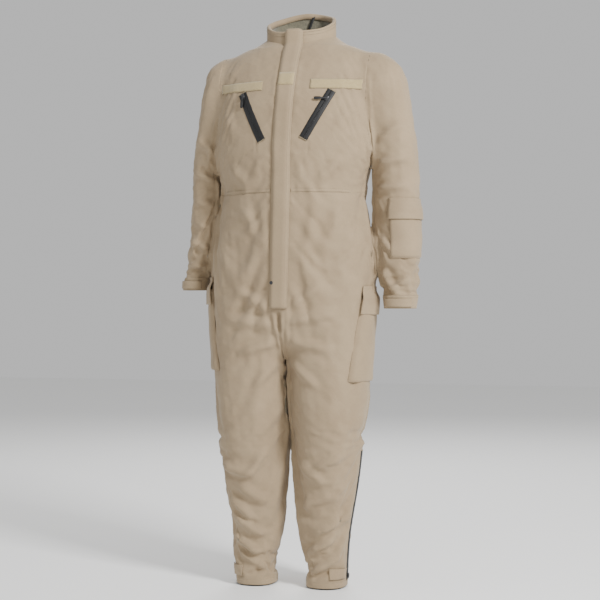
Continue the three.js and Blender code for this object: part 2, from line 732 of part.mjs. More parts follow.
// ---- Cuff bands and tabs, hem tabs ----
for (const [name, side] of [["right", -1], ["left", 1]]) {
  const arm = sleeves[name];
  const bottom = -armLength[name];
  const onArm = (u, z, offset) => arm.point(side * u, z, offset);
  const cuffTop = bottom + cuffHeight;
  const band = arm.solid(gap + cuffCloth, cuffTop, bottom, sleeveSides, sleeveLevels);
  add(name + "_cuff_band", laid(band), "shell");
  const tabSolid = slab(onArm, steps(-0.75, 0.9, 6), [bottom + 26, bottom + 5], 0, 3 * gap + 2 * cuffCloth);
  const cuffGrown = arm.solid(2 * gap + cuffCloth, cuffTop + 5, bottom - 5, sleeveSides, sleeveLevels);
  add(name + "_cuff_tab", largest(tabSolid.subtract(cuffGrown)), "shell");
  const leg = legs[name];
  const onHem = (u, z, offset) => leg.point(side * u, z, offset);
  const hemTab = slab(onHem, steps(0.35, 0.35 + hemTabWidth / 62, 5), [hemZ + 52, hemZ + 24], -1, gap + cuffCloth);
  add(name + "_hem_tab", laid(hemTab), "shell");
}

// ---- Side zips and leg zips ----
for (const [name, side] of [["right", -1], ["left", 1]]) {
  const centre = sideZipArc;
  const [y0, y1] = [sideSeamY - sideZipWidth / 2, sideSeamY + sideZipWidth / 2];
  const turnHalf = sideZipTurn / 2;
  add(name + "_side_zip_tape", sideSector(side, -turnHalf, turnHalf, centre - 0.8, centre + 0.8, y0, y1), "black");
  const start = -turnHalf + 0.01;
  const slider = sideSector(
    side, start, start + sliderLong / sideZipArc, centre - 4.4, centre - 0.8 - gap, sideSeamY - 5, sideSeamY + 5,
  );
  add(name + "_side_zip_slider", slider, "metal");
  const { frame, length } = legFrames[name];
  const halfWidth = legZipWidth / 2;
  add(name + "_leg_zip_tape", framedBox(frame, -halfWidth, halfWidth, -0.8, 0.8, 0, length), "black");
  const legSlider = framedBox(frame, -5, 5, 0.8 + gap, 4.4, length - sliderLong - 4, length - 4);
  add(name + "_leg_zip_slider", legSlider, "metal");
}

// ---- The snap that holds the foot of the fly ----
const snapZ = -650;
const snap = chordFrame(
  closurePoint(-14, snapZ, flyRise + flyCloth), closurePoint(-14, snapZ - 10, flyRise + flyCloth),
  new THREE.Vector3(0, -1, 0), 0,
);
const button = new THREE.CylinderGeometry(5, 5, 1.2, 16);
button.translate(0, 0.9, 5);
button.applyMatrix4(snap.frame.matrix);
add("fly_snap", solidOf(button), "metal");

export default group;
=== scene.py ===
"""A one-piece coverall with a stand collar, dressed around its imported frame.

Everything is in metres, +Z up, +Y to the wearer's back and +X to the wearer's left.
The cloth is one draped shell that is cut into its panels; what is sewn on it is laid on the draped cloth.
"""

import json
import logging
import math
from dataclasses import dataclass, field
from enum import Enum
from typing import Callable, Iterable, Sequence

import bmesh
import bpy
import numpy as np
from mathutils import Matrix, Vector
from mathutils.bvhtree import BVHTree


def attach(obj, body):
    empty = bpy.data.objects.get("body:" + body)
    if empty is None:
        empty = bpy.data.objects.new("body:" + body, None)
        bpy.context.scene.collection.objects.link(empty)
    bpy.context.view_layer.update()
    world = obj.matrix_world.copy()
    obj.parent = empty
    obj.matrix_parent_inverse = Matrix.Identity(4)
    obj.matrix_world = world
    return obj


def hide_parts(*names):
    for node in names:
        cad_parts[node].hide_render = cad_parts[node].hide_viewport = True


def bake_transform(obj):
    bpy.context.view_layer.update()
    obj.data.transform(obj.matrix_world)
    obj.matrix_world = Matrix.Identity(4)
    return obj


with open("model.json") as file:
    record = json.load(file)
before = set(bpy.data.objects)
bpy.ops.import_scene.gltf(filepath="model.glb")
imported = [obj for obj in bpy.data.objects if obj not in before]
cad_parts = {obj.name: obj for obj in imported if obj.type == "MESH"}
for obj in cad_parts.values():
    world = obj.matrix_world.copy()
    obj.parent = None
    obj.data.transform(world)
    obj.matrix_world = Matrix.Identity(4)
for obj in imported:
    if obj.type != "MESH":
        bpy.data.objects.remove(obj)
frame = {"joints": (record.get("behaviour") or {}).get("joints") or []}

logging.basicConfig(level=logging.INFO, format="%(message)s")
log = logging.getLogger("coverall")

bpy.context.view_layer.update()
MM = 0.001
Pair = tuple[float, float]


class Side(Enum):
    """The wearer's right and left, with the sign of X on each."""

    RIGHT = -1
    LEFT = 1

    @property
    def word(self) -> str:
        """The side's name as the nodes write it."""
        return self.name.lower()


# ---------------------------------------------------------------- the suit's form


@dataclass(frozen=True)
class Row:
    """One level section of a tube: its height, middle, half width, front and back, in millimetres."""

    z: float
    x: float
    half: float
    front: float
    back: float


class Tube:
    """A tube of cloth through level sections, each a rounded oval."""

    def __init__(self, rows: Sequence[Row], power: float) -> None:
        """Sorts the rows by height and keeps the oval's power."""
        rows = sorted(rows, key=lambda row: row.z)
        self.table = np.array([[r.z, r.x, r.half, r.front, r.back] for r in rows]) * MM
        self.power = power
        z = self.table[:, 0]
        values = self.table[:, 1:]
        last = len(z) - 1
        self.slopes = np.array(
            [
                (values[min(i + 1, last)] - values[max(i - 1, 0)]) / (z[min(i + 1, last)] - z[max(i - 1, 0)])
                for i in range(len(z))
            ]
        )

    def section(self, z: np.ndarray) -> tuple[np.ndarray, np.ndarray, np.ndarray, np.ndarray]:
        """The middle (x, y) and the half sizes (a, b) of the sections at heights z."""
        z = np.asarray(z, float)
        levels = self.table[:, 0]
        i = np.clip(np.searchsorted(levels, z) - 1, 0, len(levels) - 2)
        span = levels[i + 1] - levels[i]
        t = np.clip((z - levels[i]) / span, 0, 1)[..., None]
        v = self.table[:, 1:]
        step = span[..., None]
        h = (1 + 2 * t) * (1 - t) ** 2
        out = h * v[i] + t * (1 - t) ** 2 * step * self.slopes[i] + (1 - h) * v[i + 1]
        out = out + t * t * (t - 1) * step * self.slopes[i + 1]
        beyond = z - np.clip(z, levels[0], levels[-1])
        ends = np.where((beyond > 0)[..., None], self.slopes[-1], self.slopes[0])
        out = out + beyond[..., None] * ends
        x, half, front, back = np.moveaxis(out, -1, 0)
        return x, (front + back) / 2, np.maximum(half, 5 * MM), np.maximum((back - front) / 2, 5 * MM)

    def skin(self, angle: np.ndarray, z: np.ndarray) -> np.ndarray:
        """Points on the tube. The angle runs from the front round to +X."""
        x, y, a, b = self.section(z)
        s, c = np.sin(angle), np.cos(angle)
        e = 2 / self.power
        return np.stack(
            [x + a * np.sign(s) * np.abs(s) ** e, y - b * np.sign(c) * np.abs(c) ** e, np.asarray(z) + 0 * x], -1
        )

    def point(self, angle: np.ndarray, z: np.ndarray) -> tuple[np.ndarray, np.ndarray]:
        """Points on the tube and the normals there.

        Args:
            angle: the angles round the tube, from the front to +X.
            z: the heights.

        Returns:
            The points and the unit normals.
        """
        angle, z = np.broadcast_arrays(np.asarray(angle, float), np.asarray(z, float))
        around = self.skin(angle + 0.02, z) - self.skin(angle - 0.02, z)
        up = self.skin(angle, z + MM) - self.skin(angle, z - MM)
        normal = np.cross(around, up)
        normal /= np.linalg.norm(normal, axis=-1, keepdims=True)
        return self.skin(angle, z), normal

    def angle_at_x(self, x: np.ndarray, z: np.ndarray) -> np.ndarray:
        """The angle of the front points at x."""
        cx, _, a, _ = self.section(z)
        share = np.clip((x - cx) / a, -1, 1)
        return np.arcsin(np.sign(share) * np.abs(share) ** (self.power / 2))

    def angle_at_y(self, y: np.ndarray, z: np.ndarray, side: Side) -> np.ndarray:
        """The angle of the outer points at depth y, on one side."""
        _, cy, _, b = self.section(z)
        share = np.clip((cy - y) / b, -1, 1)
        return side.value * np.arccos(np.sign(share) * np.abs(share) ** (self.power / 2))

    def solid(self, name: str, top: float, bottom: float, sides: int = 64) -> bpy.types.Object:
        """A closed mesh of the tube between two heights.

        Args:
            name: the new object's name.
            top: the upper end, in metres.
            bottom: the lower end, in metres.
            sides: how many points go round.

        Returns:
            The new object.
        """
        levels = np.arange(bottom, top, 12 * MM)
        levels = np.append(levels[levels < top - 4 * MM], top)
        angles = np.arange(sides) * 2 * math.pi / sides
        grid, _ = self.point(angles[None, :], levels[:, None])
        grid[0, :, 2], grid[-1, :, 2] = bottom, top
        return lofted(name, grid)


@dataclass(frozen=True)
class SuitForm:
    """The suit's driving sizes, in millimetres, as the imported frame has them."""

    neck_half: float = 96
    neck_depth: float = 78
    neck_y: float = 26
    shoulder_half: float = 204
    chest_half: float = 215
    waist_half: float = 192
    hip_half: float = 222
    thigh_outer: float = 216
    knee_outer: float = 189
    hem_outer: float = 155
    hem_inner: float = 44
    chest_z: float = -280
    waist_z: float = -411
    hip_z: float = -590
    crotch_z: float = -835
    knee_z: float = -1180
    hem_z: float = -1478
    chest_front: float = -145
    chest_arc: float = 445
    lean_at_top: float = 10
    lean_per_mm: float = 22 / 750
    fly_top: float = 28
    fly_bottom: float = -724
    fly_width: float = 50
    side_seam_y: float = 6
    left_arm: float = 724
    right_arm: float = 674

    def lean(self, z: float) -> float:
        """How far the suit's middle is off X = 0 at height z, both in millimetres."""
        return self.lean_at_top + self.lean_per_mm * (max(z, self.fly_bottom) - self.fly_top)

    def front_line(self, z: float) -> float:
        """The depth of the body's front at height z: an arc down to the chest, then nearly straight."""
        if z > self.chest_z:
            return self.chest_front + self.chest_arc - math.sqrt(self.chest_arc**2 - (z - self.chest_z) ** 2)
        return self.chest_front + (self.chest_z - z) * 0.025

    def torso_row(self, z: float, half: float, back: float) -> Row:
        """A section of the body whose front lies on the front line."""
        return Row(z, self.lean(z), half, self.front_line(z), back)

    def torso(self) -> Tube:
        """The body from the neck to the waist."""
        n, s, c, w = self.neck_half, self.shoulder_half, self.chest_half, self.waist_half
        middle = (self.chest_z + self.waist_z) / 2
        rows = [(60, n - 36, 84), (30, n - 6, 103), (12, n + 14, 109), (-2, n + 36, 111), (-14, s - 44, 112)]
        rows += [(-26, s - 18, 113), (-44, s, 114), (-80, s + 6, 117), (-170, c - 3, 123), (self.chest_z, c, 125)]
        rows += [(middle, (c + w) / 2, 120), (self.waist_z, w, 114)]
        return Tube([self.torso_row(*row) for row in rows], 2.3)

    def pelvis(self) -> Tube:
        """The body from the waist to the crotch."""
        w, h, t = self.waist_half, self.hip_half, self.thigh_outer
        rows = [(self.waist_z, w, 114), ((self.waist_z + self.hip_z) / 2, (w + h) / 2, 121)]
        rows += [(self.hip_z, h - 1, 130), (self.hip_z - 100, h + 1, 129), (self.hip_z - 180, t - 4, 120)]
        last = Row(self.crotch_z, self.lean(self.crotch_z), t - 60, -98, 92)
        return Tube([self.torso_row(*row) for row in rows] + [last], 2.3)

    def leg(self, side: Side) -> Tube:
        """One trouser leg, from the waist to the hem."""
        w, h, t, k, m = self.waist_half, self.hip_half, self.thigh_outer, self.knee_outer, self.hem_outer
        z0, z1, z2, z3, z4 = self.waist_z, self.hip_z, self.crotch_z, self.knee_z, self.hem_z
        rows = [(z0, 6, w + 1.5, -116, 98), ((z0 + z1) / 2, 6, (w + h) / 2 + 1.5, -117, 106)]
        rows += [(z1, 6, h + 1.5, -120, 112), (z1 - 100, 7, h + 3, -122, 112), (z2, 9, t, -121, 110)]
        rows += [((z2 + z3) / 2, 16, (t + k) / 2 + 4, -113, 98), (z3, 25, k, -97, 86)]
        rows += [((z3 + z4) / 2, 38, (k + m) / 2 - 8, -76, 75), (z4 + 78, self.hem_inner - 1, m + 3, -68, 70)]
        rows += [(z4, self.hem_inner, m, -64, 66)]
        return Tube(
            [
                Row(z, self.lean(z) + side.value * (inner + outer) / 2, (outer - inner) / 2, front, back)
                for z, inner, outer, front, back in rows
            ],
            2.35,
        )

    def sleeve(self, side: Side) -> Tube:
        """One sleeve. The left one hangs fuller and lower, and further from the body."""
        s, c = self.shoulder_half, self.chest_half
        if side is Side.LEFT:
            rows = [(-30, s - 30, s + 36, -16, 45), (-55, s - 44, s + 76, -44, 72), (-90, s - 46, s + 97, -58, 82)]
            rows += [(-160, s - 32, s + 111, -62, 84), (-264, c + 4, c + 118, -60, 78)]
            rows += [(-399, c + 11, c + 132, -58, 70), (-480, c + 9, c + 136, -62, 66)]
            rows += [(-553, c + 11, c + 140, -64, 60), (-610, c + 17, c + 135, -62, 52)]
            rows += [(-665, c + 30, c + 129, -58, 42), (-self.left_arm, c + 36, c + 121, -54, 36)]
        else:
            rows = [(-34, s - 40, s + 20, -16, 48), (-60, s - 50, s + 44, -44, 72), (-90, s - 50, s + 54, -55, 80)]
            rows += [(-137, s - 40, s + 63, -58, 84), (-245, c - 12, c + 69, -54, 80)]
            rows += [(-290, c + 5, c + 75, -52, 78), (-382, c + 2, c + 86, -48, 74)]
            rows += [(-481, c + 5, c + 98, -44, 73), (-569, c + 26, c + 108, -36, 72)]
            rows += [(-638, c + 45, c + 114, -26, 68), (-self.right_arm, c + 49, c + 118, -22, 64)]
        return Tube(
            [
                Row(z, side.value * (inner + outer) / 2, (outer - inner) / 2, front, back)
                for z, inner, outer, front, back in rows
            ],
            2.2,
        )

    def arm_length(self, side: Side) -> float:
        """How far below the origin a sleeve ends, in metres."""
        return (self.left_arm if side is Side.LEFT else self.right_arm) * MM


FORM = SuitForm()


def lean(z: np.ndarray) -> np.ndarray:
    """The suit's middle line at heights z, in metres."""
    top = np.maximum(np.asarray(z, float), FORM.fly_bottom * MM) - FORM.fly_top * MM
    return FORM.lean_at_top * MM + FORM.lean_per_mm * top


# ---------------------------------------------------------------- mesh helpers


def mesh_object(name: str, points: np.ndarray, faces: Iterable[Sequence[int]]) -> bpy.types.Object:
    """A new mesh object from points and faces, linked to the scene."""
    mesh = bpy.data.meshes.new(name)
    mesh.from_pydata([tuple(p) for p in np.asarray(points, float)], [], [tuple(f) for f in faces])
    mesh.update()
    obj = bpy.data.objects.new(name, mesh)
    bpy.context.scene.collection.objects.link(obj)
    return obj


def lofted(name: str, rings: np.ndarray) -> bpy.types.Object:
    """A closed mesh through rings of points, by ring and point, with a cap on the first and the last."""
    levels, count = rings.shape[:2]
    faces = []
    for first in range(0, (levels - 1) * count, count):
        for i in range(count):
            j = (i + 1) % count
            faces.append((first + i, first + j, first + count + j, first + count + i))
    faces += [tuple(range(count))[::-1], tuple(range((levels - 1) * count, levels * count))]
    return mesh_object(name, rings.reshape(-1, 3), faces)


def outfaced(obj: bpy.types.Object) -> bpy.types.Object:
    """The object with its faces turned outwards."""
    bm = bmesh.new()
    bm.from_mesh(obj.data)
    bmesh.ops.recalc_face_normals(bm, faces=bm.faces)
    bm.to_mesh(obj.data)
    bm.free()
    return obj


def coords(obj: bpy.types.Object) -> np.ndarray:
    """The object's vertex coordinates as an array of rows."""
    out = np.empty(len(obj.data.vertices) * 3)
    obj.data.vertices.foreach_get("co", out)
    return out.reshape(-1, 3)


def set_coords(obj: bpy.types.Object, points: np.ndarray) -> None:
    """Moves the object's vertices to the points."""
    obj.data.vertices.foreach_set("co", np.asarray(points, float).ravel())
    obj.data.update()


def normals(obj: bpy.types.Object) -> np.ndarray:
    """The object's vertex normals as an array of rows."""
    out = np.empty(len(obj.data.vertices) * 3, np.float32)
    obj.data.vertex_normals.foreach_get("vector", out)
    return out.reshape(-1, 3).astype(float)


def baked(obj: bpy.types.Object) -> bpy.types.Object:
    """The object with its modifiers applied to its mesh."""
    bpy.context.view_layer.update()
    graph = bpy.context.evaluated_depsgraph_get()
    mesh = bpy.data.meshes.new_from_object(obj.evaluated_get(graph))
    obj.modifiers.clear()
    obj.data = mesh
    return obj


def smooth_shaded(obj: bpy.types.Object) -> bpy.types.Object:
    """The object with smooth shading on every face."""
    obj.data.polygons.foreach_set("use_smooth", np.ones(len(obj.data.polygons), bool))
    return obj


def dressed(obj: bpy.types.Object, material: bpy.types.Material) -> bpy.types.Object:
    """The object with its only material set and its faces shaded smooth."""
    obj.data.materials.clear()
    obj.data.materials.append(material)
    return smooth_shaded(obj)


def ease(t: np.ndarray) -> np.ndarray:
    """A smooth step from 0 to 1."""
    t = np.clip(t, 0, 1)
    return t * t * (3 - 2 * t)


def ripple(points: np.ndarray, scale: float, seed: int) -> np.ndarray:
    """Soft seeded waves, about -1 to 1, with wavelengths near scale metres."""
    draw = np.random.default_rng(seed)
    total = np.zeros(len(points))
    for _ in range(7):
        direction = draw.normal(size=3)
        direction /= np.linalg.norm(direction)
        wave = 2 * math.pi / (scale * draw.uniform(0.7, 1.5))
        total += np.sin(points @ direction * wave + draw.uniform(0, 6.28))
    return total / 3.5


# ---------------------------------------------------------------- the draped cloth


@dataclass(frozen=True)
class Fold:
    """A soft crease in the cloth, seen from the front: from one (x, z) to another, in millimetres."""

    start: tuple[float, float]
    end: tuple[float, float]
    width: float
    height: float
    front: bool = True

    def lift(self, points: np.ndarray, facing: np.ndarray) -> np.ndarray:
        """How far each point is lifted by this fold.

        Args:
            points: the cloth's points at rest.
            facing: each point's normal.

        Returns:
            The lift of each point, in metres.
        """
        a, b = np.array(self.start) * MM, np.array(self.end) * MM
        flat = points[:, [0, 2]]
        along = b - a
        length = np.linalg.norm(along)
        t = ((flat - a) @ along) / length**2
        nearest = a + np.clip(t, 0, 1)[:, None] * along
        u = np.linalg.norm(flat - nearest, axis=1) / (self.width * MM)
        ends = ease(np.clip(t, 0, 1) / 0.3) * ease((1 - np.clip(t, 0, 1)) / 0.3)
        turned = -facing[:, 1] if self.front else facing[:, 1]
        return self.height * MM * (1 - 1.3 * u * u) * np.exp(-u * u) * ends * ease(turned * 1.6 + 0.1)


FRONT_FOLDS = (
    Fold((-20, -735), (-150, -655), 17, 5), Fold((-26, -765), (-185, -735), 19, 6),
    Fold((-24, -800), (-150, -830), 17, 6),
    Fold((-22, -840), (-110, -925), 16, 5), Fold((4, -730), (120, -640), 17, 5), Fold((8, -760), (160, -715), 19, 6),
    Fold((6, -800), (150, -820), 17, 6), Fold((8, -840), (110, -930), 16, 5), Fold((-14, -728), (-14, -790), 10, -7),
    Fold((-205, -1130), (-80, -1160), 20, 8), Fold((-60, -1085), (-120, -1160), 18, 6),
    Fold((-50, -1240), (-150, -1180), 20, 7),
    Fold((-180, -1215), (-90, -1290), 19, 8), Fold((-60, -1330), (-160, -1275), 17, 8),
    Fold((-175, -1330), (-70, -1385), 16, 8),
    Fold((-60, -1430), (-150, -1380), 15, 7), Fold((20, -1120), (120, -1180), 20, 7),
    Fold((175, -1090), (70, -1145), 19, 7),
    Fold((25, -1250), (140, -1200), 20, 8), Fold((170, -1270), (60, -1320), 18, 9),
    Fold((30, -1380), (130, -1330), 16, 8),
    Fold((140, -1385), (45, -1440), 15, 8), Fold((-120, -430), (-60, -560), 20, 4),
    Fold((-60, -420), (-42, -600), 18, 4),
    Fold((90, -425), (60, -590), 20, 4), Fold((150, -430), (120, -560), 20, 4), Fold((-160, -330), (-90, -400), 18, 4),
    Fold((160, -310), (90, -395), 20, 5), Fold((190, -170), (110, -290), 22, 4),
    Fold((-180, -180), (-100, -300), 22, 4),
    Fold((-120, -30), (-70, -150), 20, 3), Fold((120, -25), (80, -140), 20, 3),
    Fold((240, -330), (330, -300), 17, 8), Fold((235, -400), (330, -370), 15, 7), Fold((240, -270), (310, -215), 17, 6),
    Fold((335, -620), (280, -680), 14, 8), Fold((255, -600), (290, -690), 13, 8), Fold((250, -520), (330, -600), 16, 5),
    Fold((-290, -330), (-215, -370), 16, 8), Fold((-295, -410), (-225, -440), 15, 7),
    Fold((-210, -290), (-275, -240), 16, 6),
    Fold((-310, -520), (-240, -560), 15, 8), Fold((-250, -600), (-320, -590), 13, 7),
    Fold((-300, -470), (-240, -500), 14, 6),
)
BACK_FOLDS = (
    Fold((-150, -240), (0, -320), 24, 5, False), Fold((150, -240), (20, -340), 24, 5, False),
    Fold((-140, -430), (-30, -520), 20, 5, False), Fold((150, -430), (30, -530), 20, 5, False),
    Fold((-20, -700), (-160, -800), 22, 7, False), Fold((10, -700), (140, -800), 22, 7, False),
    Fold((-30, -850), (-150, -880), 20, 6, False), Fold((20, -850), (150, -880), 20, 6, False),
    Fold((-180, -1120), (-70, -1150), 20, 8, False), Fold((180, -1130), (50, -1160), 20, 8, False),
    Fold((-60, -1230), (-170, -1260), 19, 8, False), Fold((40, -1240), (160, -1270), 19, 8, False),
    Fold((-160, -1340), (-60, -1370), 17, 9, False), Fold((150, -1340), (50, -1380), 17, 9, False),
    Fold((240, -380), (330, -350), 17, 8, False), Fold((-290, -380), (-215, -350), 17, 8, False),
    Fold((-120, -60), (-60, -170), 22, 4, False), Fold((130, -60), (60, -170), 22, 4, False),
)


class Cloth:
    """The suit's cloth, as one surface that is draped once and then cut into its panels."""

    voxel = 10 * MM
    cap = 22 * MM
    frames = 26

    def __init__(self) -> None:
        """Makes the tubes that the cloth is wrapped around."""
        self.torso = FORM.torso()
        self.pelvis = FORM.pelvis()
        self.legs = {side: FORM.leg(side) for side in Side}
        self.sleeves = {side: FORM.sleeve(side) for side in Side}
        self.surface = self.wrapped("cloth", self.voxel)
        self.rest = coords(self.surface)
        self.drape()
        self.refine()
        self.skin = Skin(self.surface)

    def wrapped(self, name: str, voxel: float) -> bpy.types.Object:
        """All the tubes as one closed surface with open neck, cuffs and hems.

        Args:
            name: the new object's name.
            voxel: the size of its faces.

        Returns:
            The wrapped surface.
        """
        waist, crotch, hem = FORM.waist_z * MM, FORM.crotch_z * MM, FORM.hem_z * MM
        solids = [
            self.torso.solid("torso_form", 0.06, waist - 0.01),
            self.pelvis.solid("pelvis_form", waist + 0.01, crotch),
        ]
        for side in Side:
            solids.append(self.legs[side].solid(f"{side.word}_leg_form", waist - 0.02, hem - 0.03))
            bottom = -FORM.arm_length(side) - 0.03
            solids.append(self.sleeves[side].solid(f"{side.word}_sleeve_form", -0.03, bottom))
        obj = joined(name, solids)
        remesh = obj.modifiers.new("wrap", "REMESH")
        remesh.mode, remesh.voxel_size = "VOXEL", voxel
        smooth = obj.modifiers.new("ease", "SMOOTH")
        smooth.factor, smooth.iterations = 0.5, 4
        baked(obj)
        self.open_ends(obj)
        return obj

    def open_ends(self, obj: bpy.types.Object) -> None:
        """Cuts the neck, the cuffs and the hems open at their lines."""
        bm = bmesh.new()
        bm.from_mesh(obj.data)
        cx, cy = float(lean(0.0)), FORM.neck_y * MM

        def neck(p: np.ndarray) -> np.ndarray:
            """How far outside the neck ring each place is."""
            ring = np.hypot(
                (p[:, 0] - cx) / (FORM.neck_half * MM - 0.001), (p[:, 1] - cy) / (FORM.neck_depth * MM - 0.001)
            )
            return np.where(p[:, 2] > -0.12, ring - 1, 1)

        cut(bm, neck, drop=True)
        cut(bm, lambda p: p[:, 2] - FORM.hem_z * MM, drop=True)
        for side in Side:
            arm = FORM.arm_length(side)
            cut(bm, lambda p: np.where(p[:, 0] * side.value > 0.24, p[:, 2] + arm, 1), drop=True)
        bm.to_mesh(obj.data)
        bm.free()

    def pins(self, p: np.ndarray) -> np.ndarray:
        """How firmly each point is held: at the neck, the cuffs, the hems and along the closures."""
        hold = ease((p[:, 2] + 0.06) / 0.05)
        hold = np.maximum(hold, ease((FORM.hem_z * MM + 0.03 - p[:, 2]) / 0.02))
        for side in Side:
            on_arm = p[:, 0] * side.value > 0.24
            hold = np.maximum(hold, on_arm * ease((-FORM.arm_length(side) + 0.045 - p[:, 2]) / 0.02))
        middle = np.abs(p[:, 0] - lean(p[:, 2]))
        front = (p[:, 1] < -0.03) & (p[:, 2] > FORM.fly_bottom * MM - 0.01)
        hold = np.maximum(hold, front * ease((0.042 - middle) / 0.02))
        hold = np.maximum(hold, 0.9 * front * (p[:, 2] > -0.31) * ease((0.17 - middle) / 0.05))
        # The zips are stiffer than the cloth, so the side seams stay straight along them.
        by_zip = ease((0.03 - np.abs(p[:, 1] - FORM.side_seam_y * MM)) / 0.015)
        at_waist = (armhole(p) < 0) & (middle > 0.16) & (p[:, 2] > -0.54) & (p[:, 2] < -0.27)
        at_leg = (middle > 0.11) & (p[:, 2] < -1.09)
        return np.maximum(hold, by_zip * (at_waist | at_leg))

    def drape(self) -> None:
        """Lets the cloth hang for a moment on a slightly thinner form, then keeps what it did."""
        form = self.wrapped("form", 18 * MM)
        points, facing = coords(form), normals(form)
        thinner = 2 * MM + 12 * MM * ease((-0.25 - points[:, 2]) / 0.3)
        set_coords(form, points - facing * thinner[:, None])
        form.modifiers.new("body", "COLLISION")
        form.collision.thickness_outer = 2 * MM
        group = self.surface.vertex_groups.new(name="held")
        for i, weight in enumerate(self.pins(self.rest)):
            if weight > 0.01:
                group.add([i], float(weight), "REPLACE")
        cloth = self.surface.modifiers.new("cloth", "CLOTH")
        settings = cloth.settings
        settings.quality = 5
        settings.mass = 0.25
        settings.tension_stiffness = settings.compression_stiffness = 18
        settings.shear_stiffness = 6
        settings.bending_stiffness = 0.6
        settings.vertex_group_mass = "held"
        settings.shrink_min = settings.shrink_max = -0.045
        cloth.collision_settings.distance_min = 2 * MM
        cloth.collision_settings.collision_quality = 2
        cloth.collision_settings.use_self_collision = False
        cloth.point_cache.frame_end = self.frames
        scene = bpy.context.scene
        for frame_now in range(1, self.frames + 1):
            scene.frame_set(frame_now)
        hung = coords(baked(self.surface))
        scene.frame_set(1)
        moved = hung - self.rest
        far = np.linalg.norm(moved, axis=1, keepdims=True)
        set_coords(self.surface, self.rest + moved * np.minimum(1, self.cap / np.maximum(far, 1e-9)))
        bpy.data.objects.remove(form)
        log.info("cloth draped: %d points, moved %.1f mm at most", len(hung), far.max() * 1000)

    def refine(self) -> None:
        """Splits the faces once, keeps each point's place at rest, and folds the cloth where a body bends it."""
        rest = self.surface.data.attributes.new("rest_place", "FLOAT_VECTOR", "POINT")
        rest.data.foreach_set("vector", self.rest.astype(np.float32).ravel())
        finer = self.surface.modifiers.new("finer", "SUBSURF")
        finer.levels = finer.render_levels = 1
        baked(self.surface)
        place = np.empty(len(self.surface.data.vertices) * 3, np.float32)
        self.surface.data.attributes["rest_place"].data.foreach_get("vector", place)
        self.rest = place.reshape(-1, 3).astype(float)
        points, facing = coords(self.surface), normals(self.surface)
        lift = 1.35 * sum(fold.lift(self.rest, facing) for fold in FRONT_FOLDS + BACK_FOLDS)
        loose = 1 - self.pins(self.rest)
        lift = lift + 1.6 * MM * ripple(self.rest * [1, 1, 1.6], 0.07, 3)
        lift = lift + 0.7 * MM * ripple(self.rest * [1, 1, 1.8], 0.028, 5)
        set_coords(self.surface, points + facing * (lift * (0.12 + 0.88 * loose))[:, None])


class Skin:
    """The draped cloth as something that other pieces are laid on."""

    def __init__(self, obj: bpy.types.Object) -> None:
        """Keeps the faces for finding the nearest cloth along a line."""
        self.points = coords(obj)
        faces = [tuple(p.vertices) for p in obj.data.polygons]
        self.tree = BVHTree.FromPolygons([Vector(p) for p in self.points], faces)

    def hit(self, start: np.ndarray, direction: np.ndarray, reach: float) -> np.ndarray | None:
        """Where a line from start first meets the cloth, or None."""
        place, _, _, _ = self.tree.ray_cast(Vector(start), Vector(direction), reach)
        return None if place is None else np.array(place)

    def depths(self, base: np.ndarray, facing: np.ndarray, reach: float) -> np.ndarray:
        """How far the cloth lies off each point of the form, along its normal."""
        depth = np.full(base.shape[:-1], np.nan)
        for index in np.ndindex(depth.shape):
            found = self.hit(base[index] + facing[index] * reach, -facing[index], reach + 0.035)
            if found is not None:
                depth[index] = (found - base[index]) @ facing[index]
        usual = float(np.nanmedian(depth)) if np.isfinite(depth).any() else 0.0
        return np.where(np.isfinite(depth), depth, usual)

    def laid(
        self, place: Callable, us: np.ndarray, vs: np.ndarray, smooth: int = 3, reach: float = 0.05
    ) -> tuple[np.ndarray, np.ndarray]:
        """A grid laid on the cloth.

        Args:
            place: gives the form's point and normal for arrays u and v.
            us: the values of u, one for each column.
            vs: the values of v, one for each row.
            smooth: how many times the grid's heights are evened out.
            reach: how far off the form the search starts, which is less where other cloth is close by.

        Returns:
            The grid's points and normals, by row and column.
        """
        u, v = np.meshgrid(us, vs)
        base, facing = place(u, v)
        depth = self.depths(base, facing, reach)
        for _ in range(smooth):
            padded_grid = np.pad(depth, 1, mode="edge")
            around = padded_grid[:-2, 1:-1] + padded_grid[2:, 1:-1] + padded_grid[1:-1, :-2] + padded_grid[1:-1, 2:]
            depth = np.maximum(0.5 * depth + around / 8, depth - 1.0 * MM)
        return base + facing * depth[..., None], facing


def cut(bm: bmesh.types.BMesh, field_of: Callable, drop: bool = False) -> None:
    """Splits the faces of a mesh where a field of place is zero.

    Args:
        bm: the mesh, whose points are its places.
        field_of: gives the field at an array of places.
        drop: whether the part where the field is below zero is removed.

    The places are the points at rest where the mesh keeps them, and the points themselves where it doesn't.
    """
    rest = bm.verts.layers.float_vector.get("rest_place")
    places = np.array([v[rest] if rest else v.co for v in bm.verts])
    values = field_of(places)
    keep = bm.verts.layers.float_vector.get("keep_place") or bm.verts.layers.float_vector.new("keep_place")
    for v, value in zip(bm.verts, values):
        v[keep] = v.co
        v.co.x = value
    close = [e for e in bm.edges if (e.verts[0].co.x < 0) != (e.verts[1].co.x < 0)]
    faces = {f for e in close for f in e.link_faces}
    geometry = list(faces) + list({e for f in faces for e in f.edges}) + list({v for f in faces for v in f.verts})
    if faces:
        bmesh.ops.bisect_plane(bm, geom=geometry, dist=1e-7, plane_co=(0, 0, 0), plane_no=(1, 0, 0))
    if drop:
        below = [f for f in bm.faces if f.calc_center_median().x < 0]
        bmesh.ops.delete(bm, geom=below, context="FACES")
    for v in bm.verts:
        v.co = v[keep]


# ---------------------------------------------------------------- sewn pieces


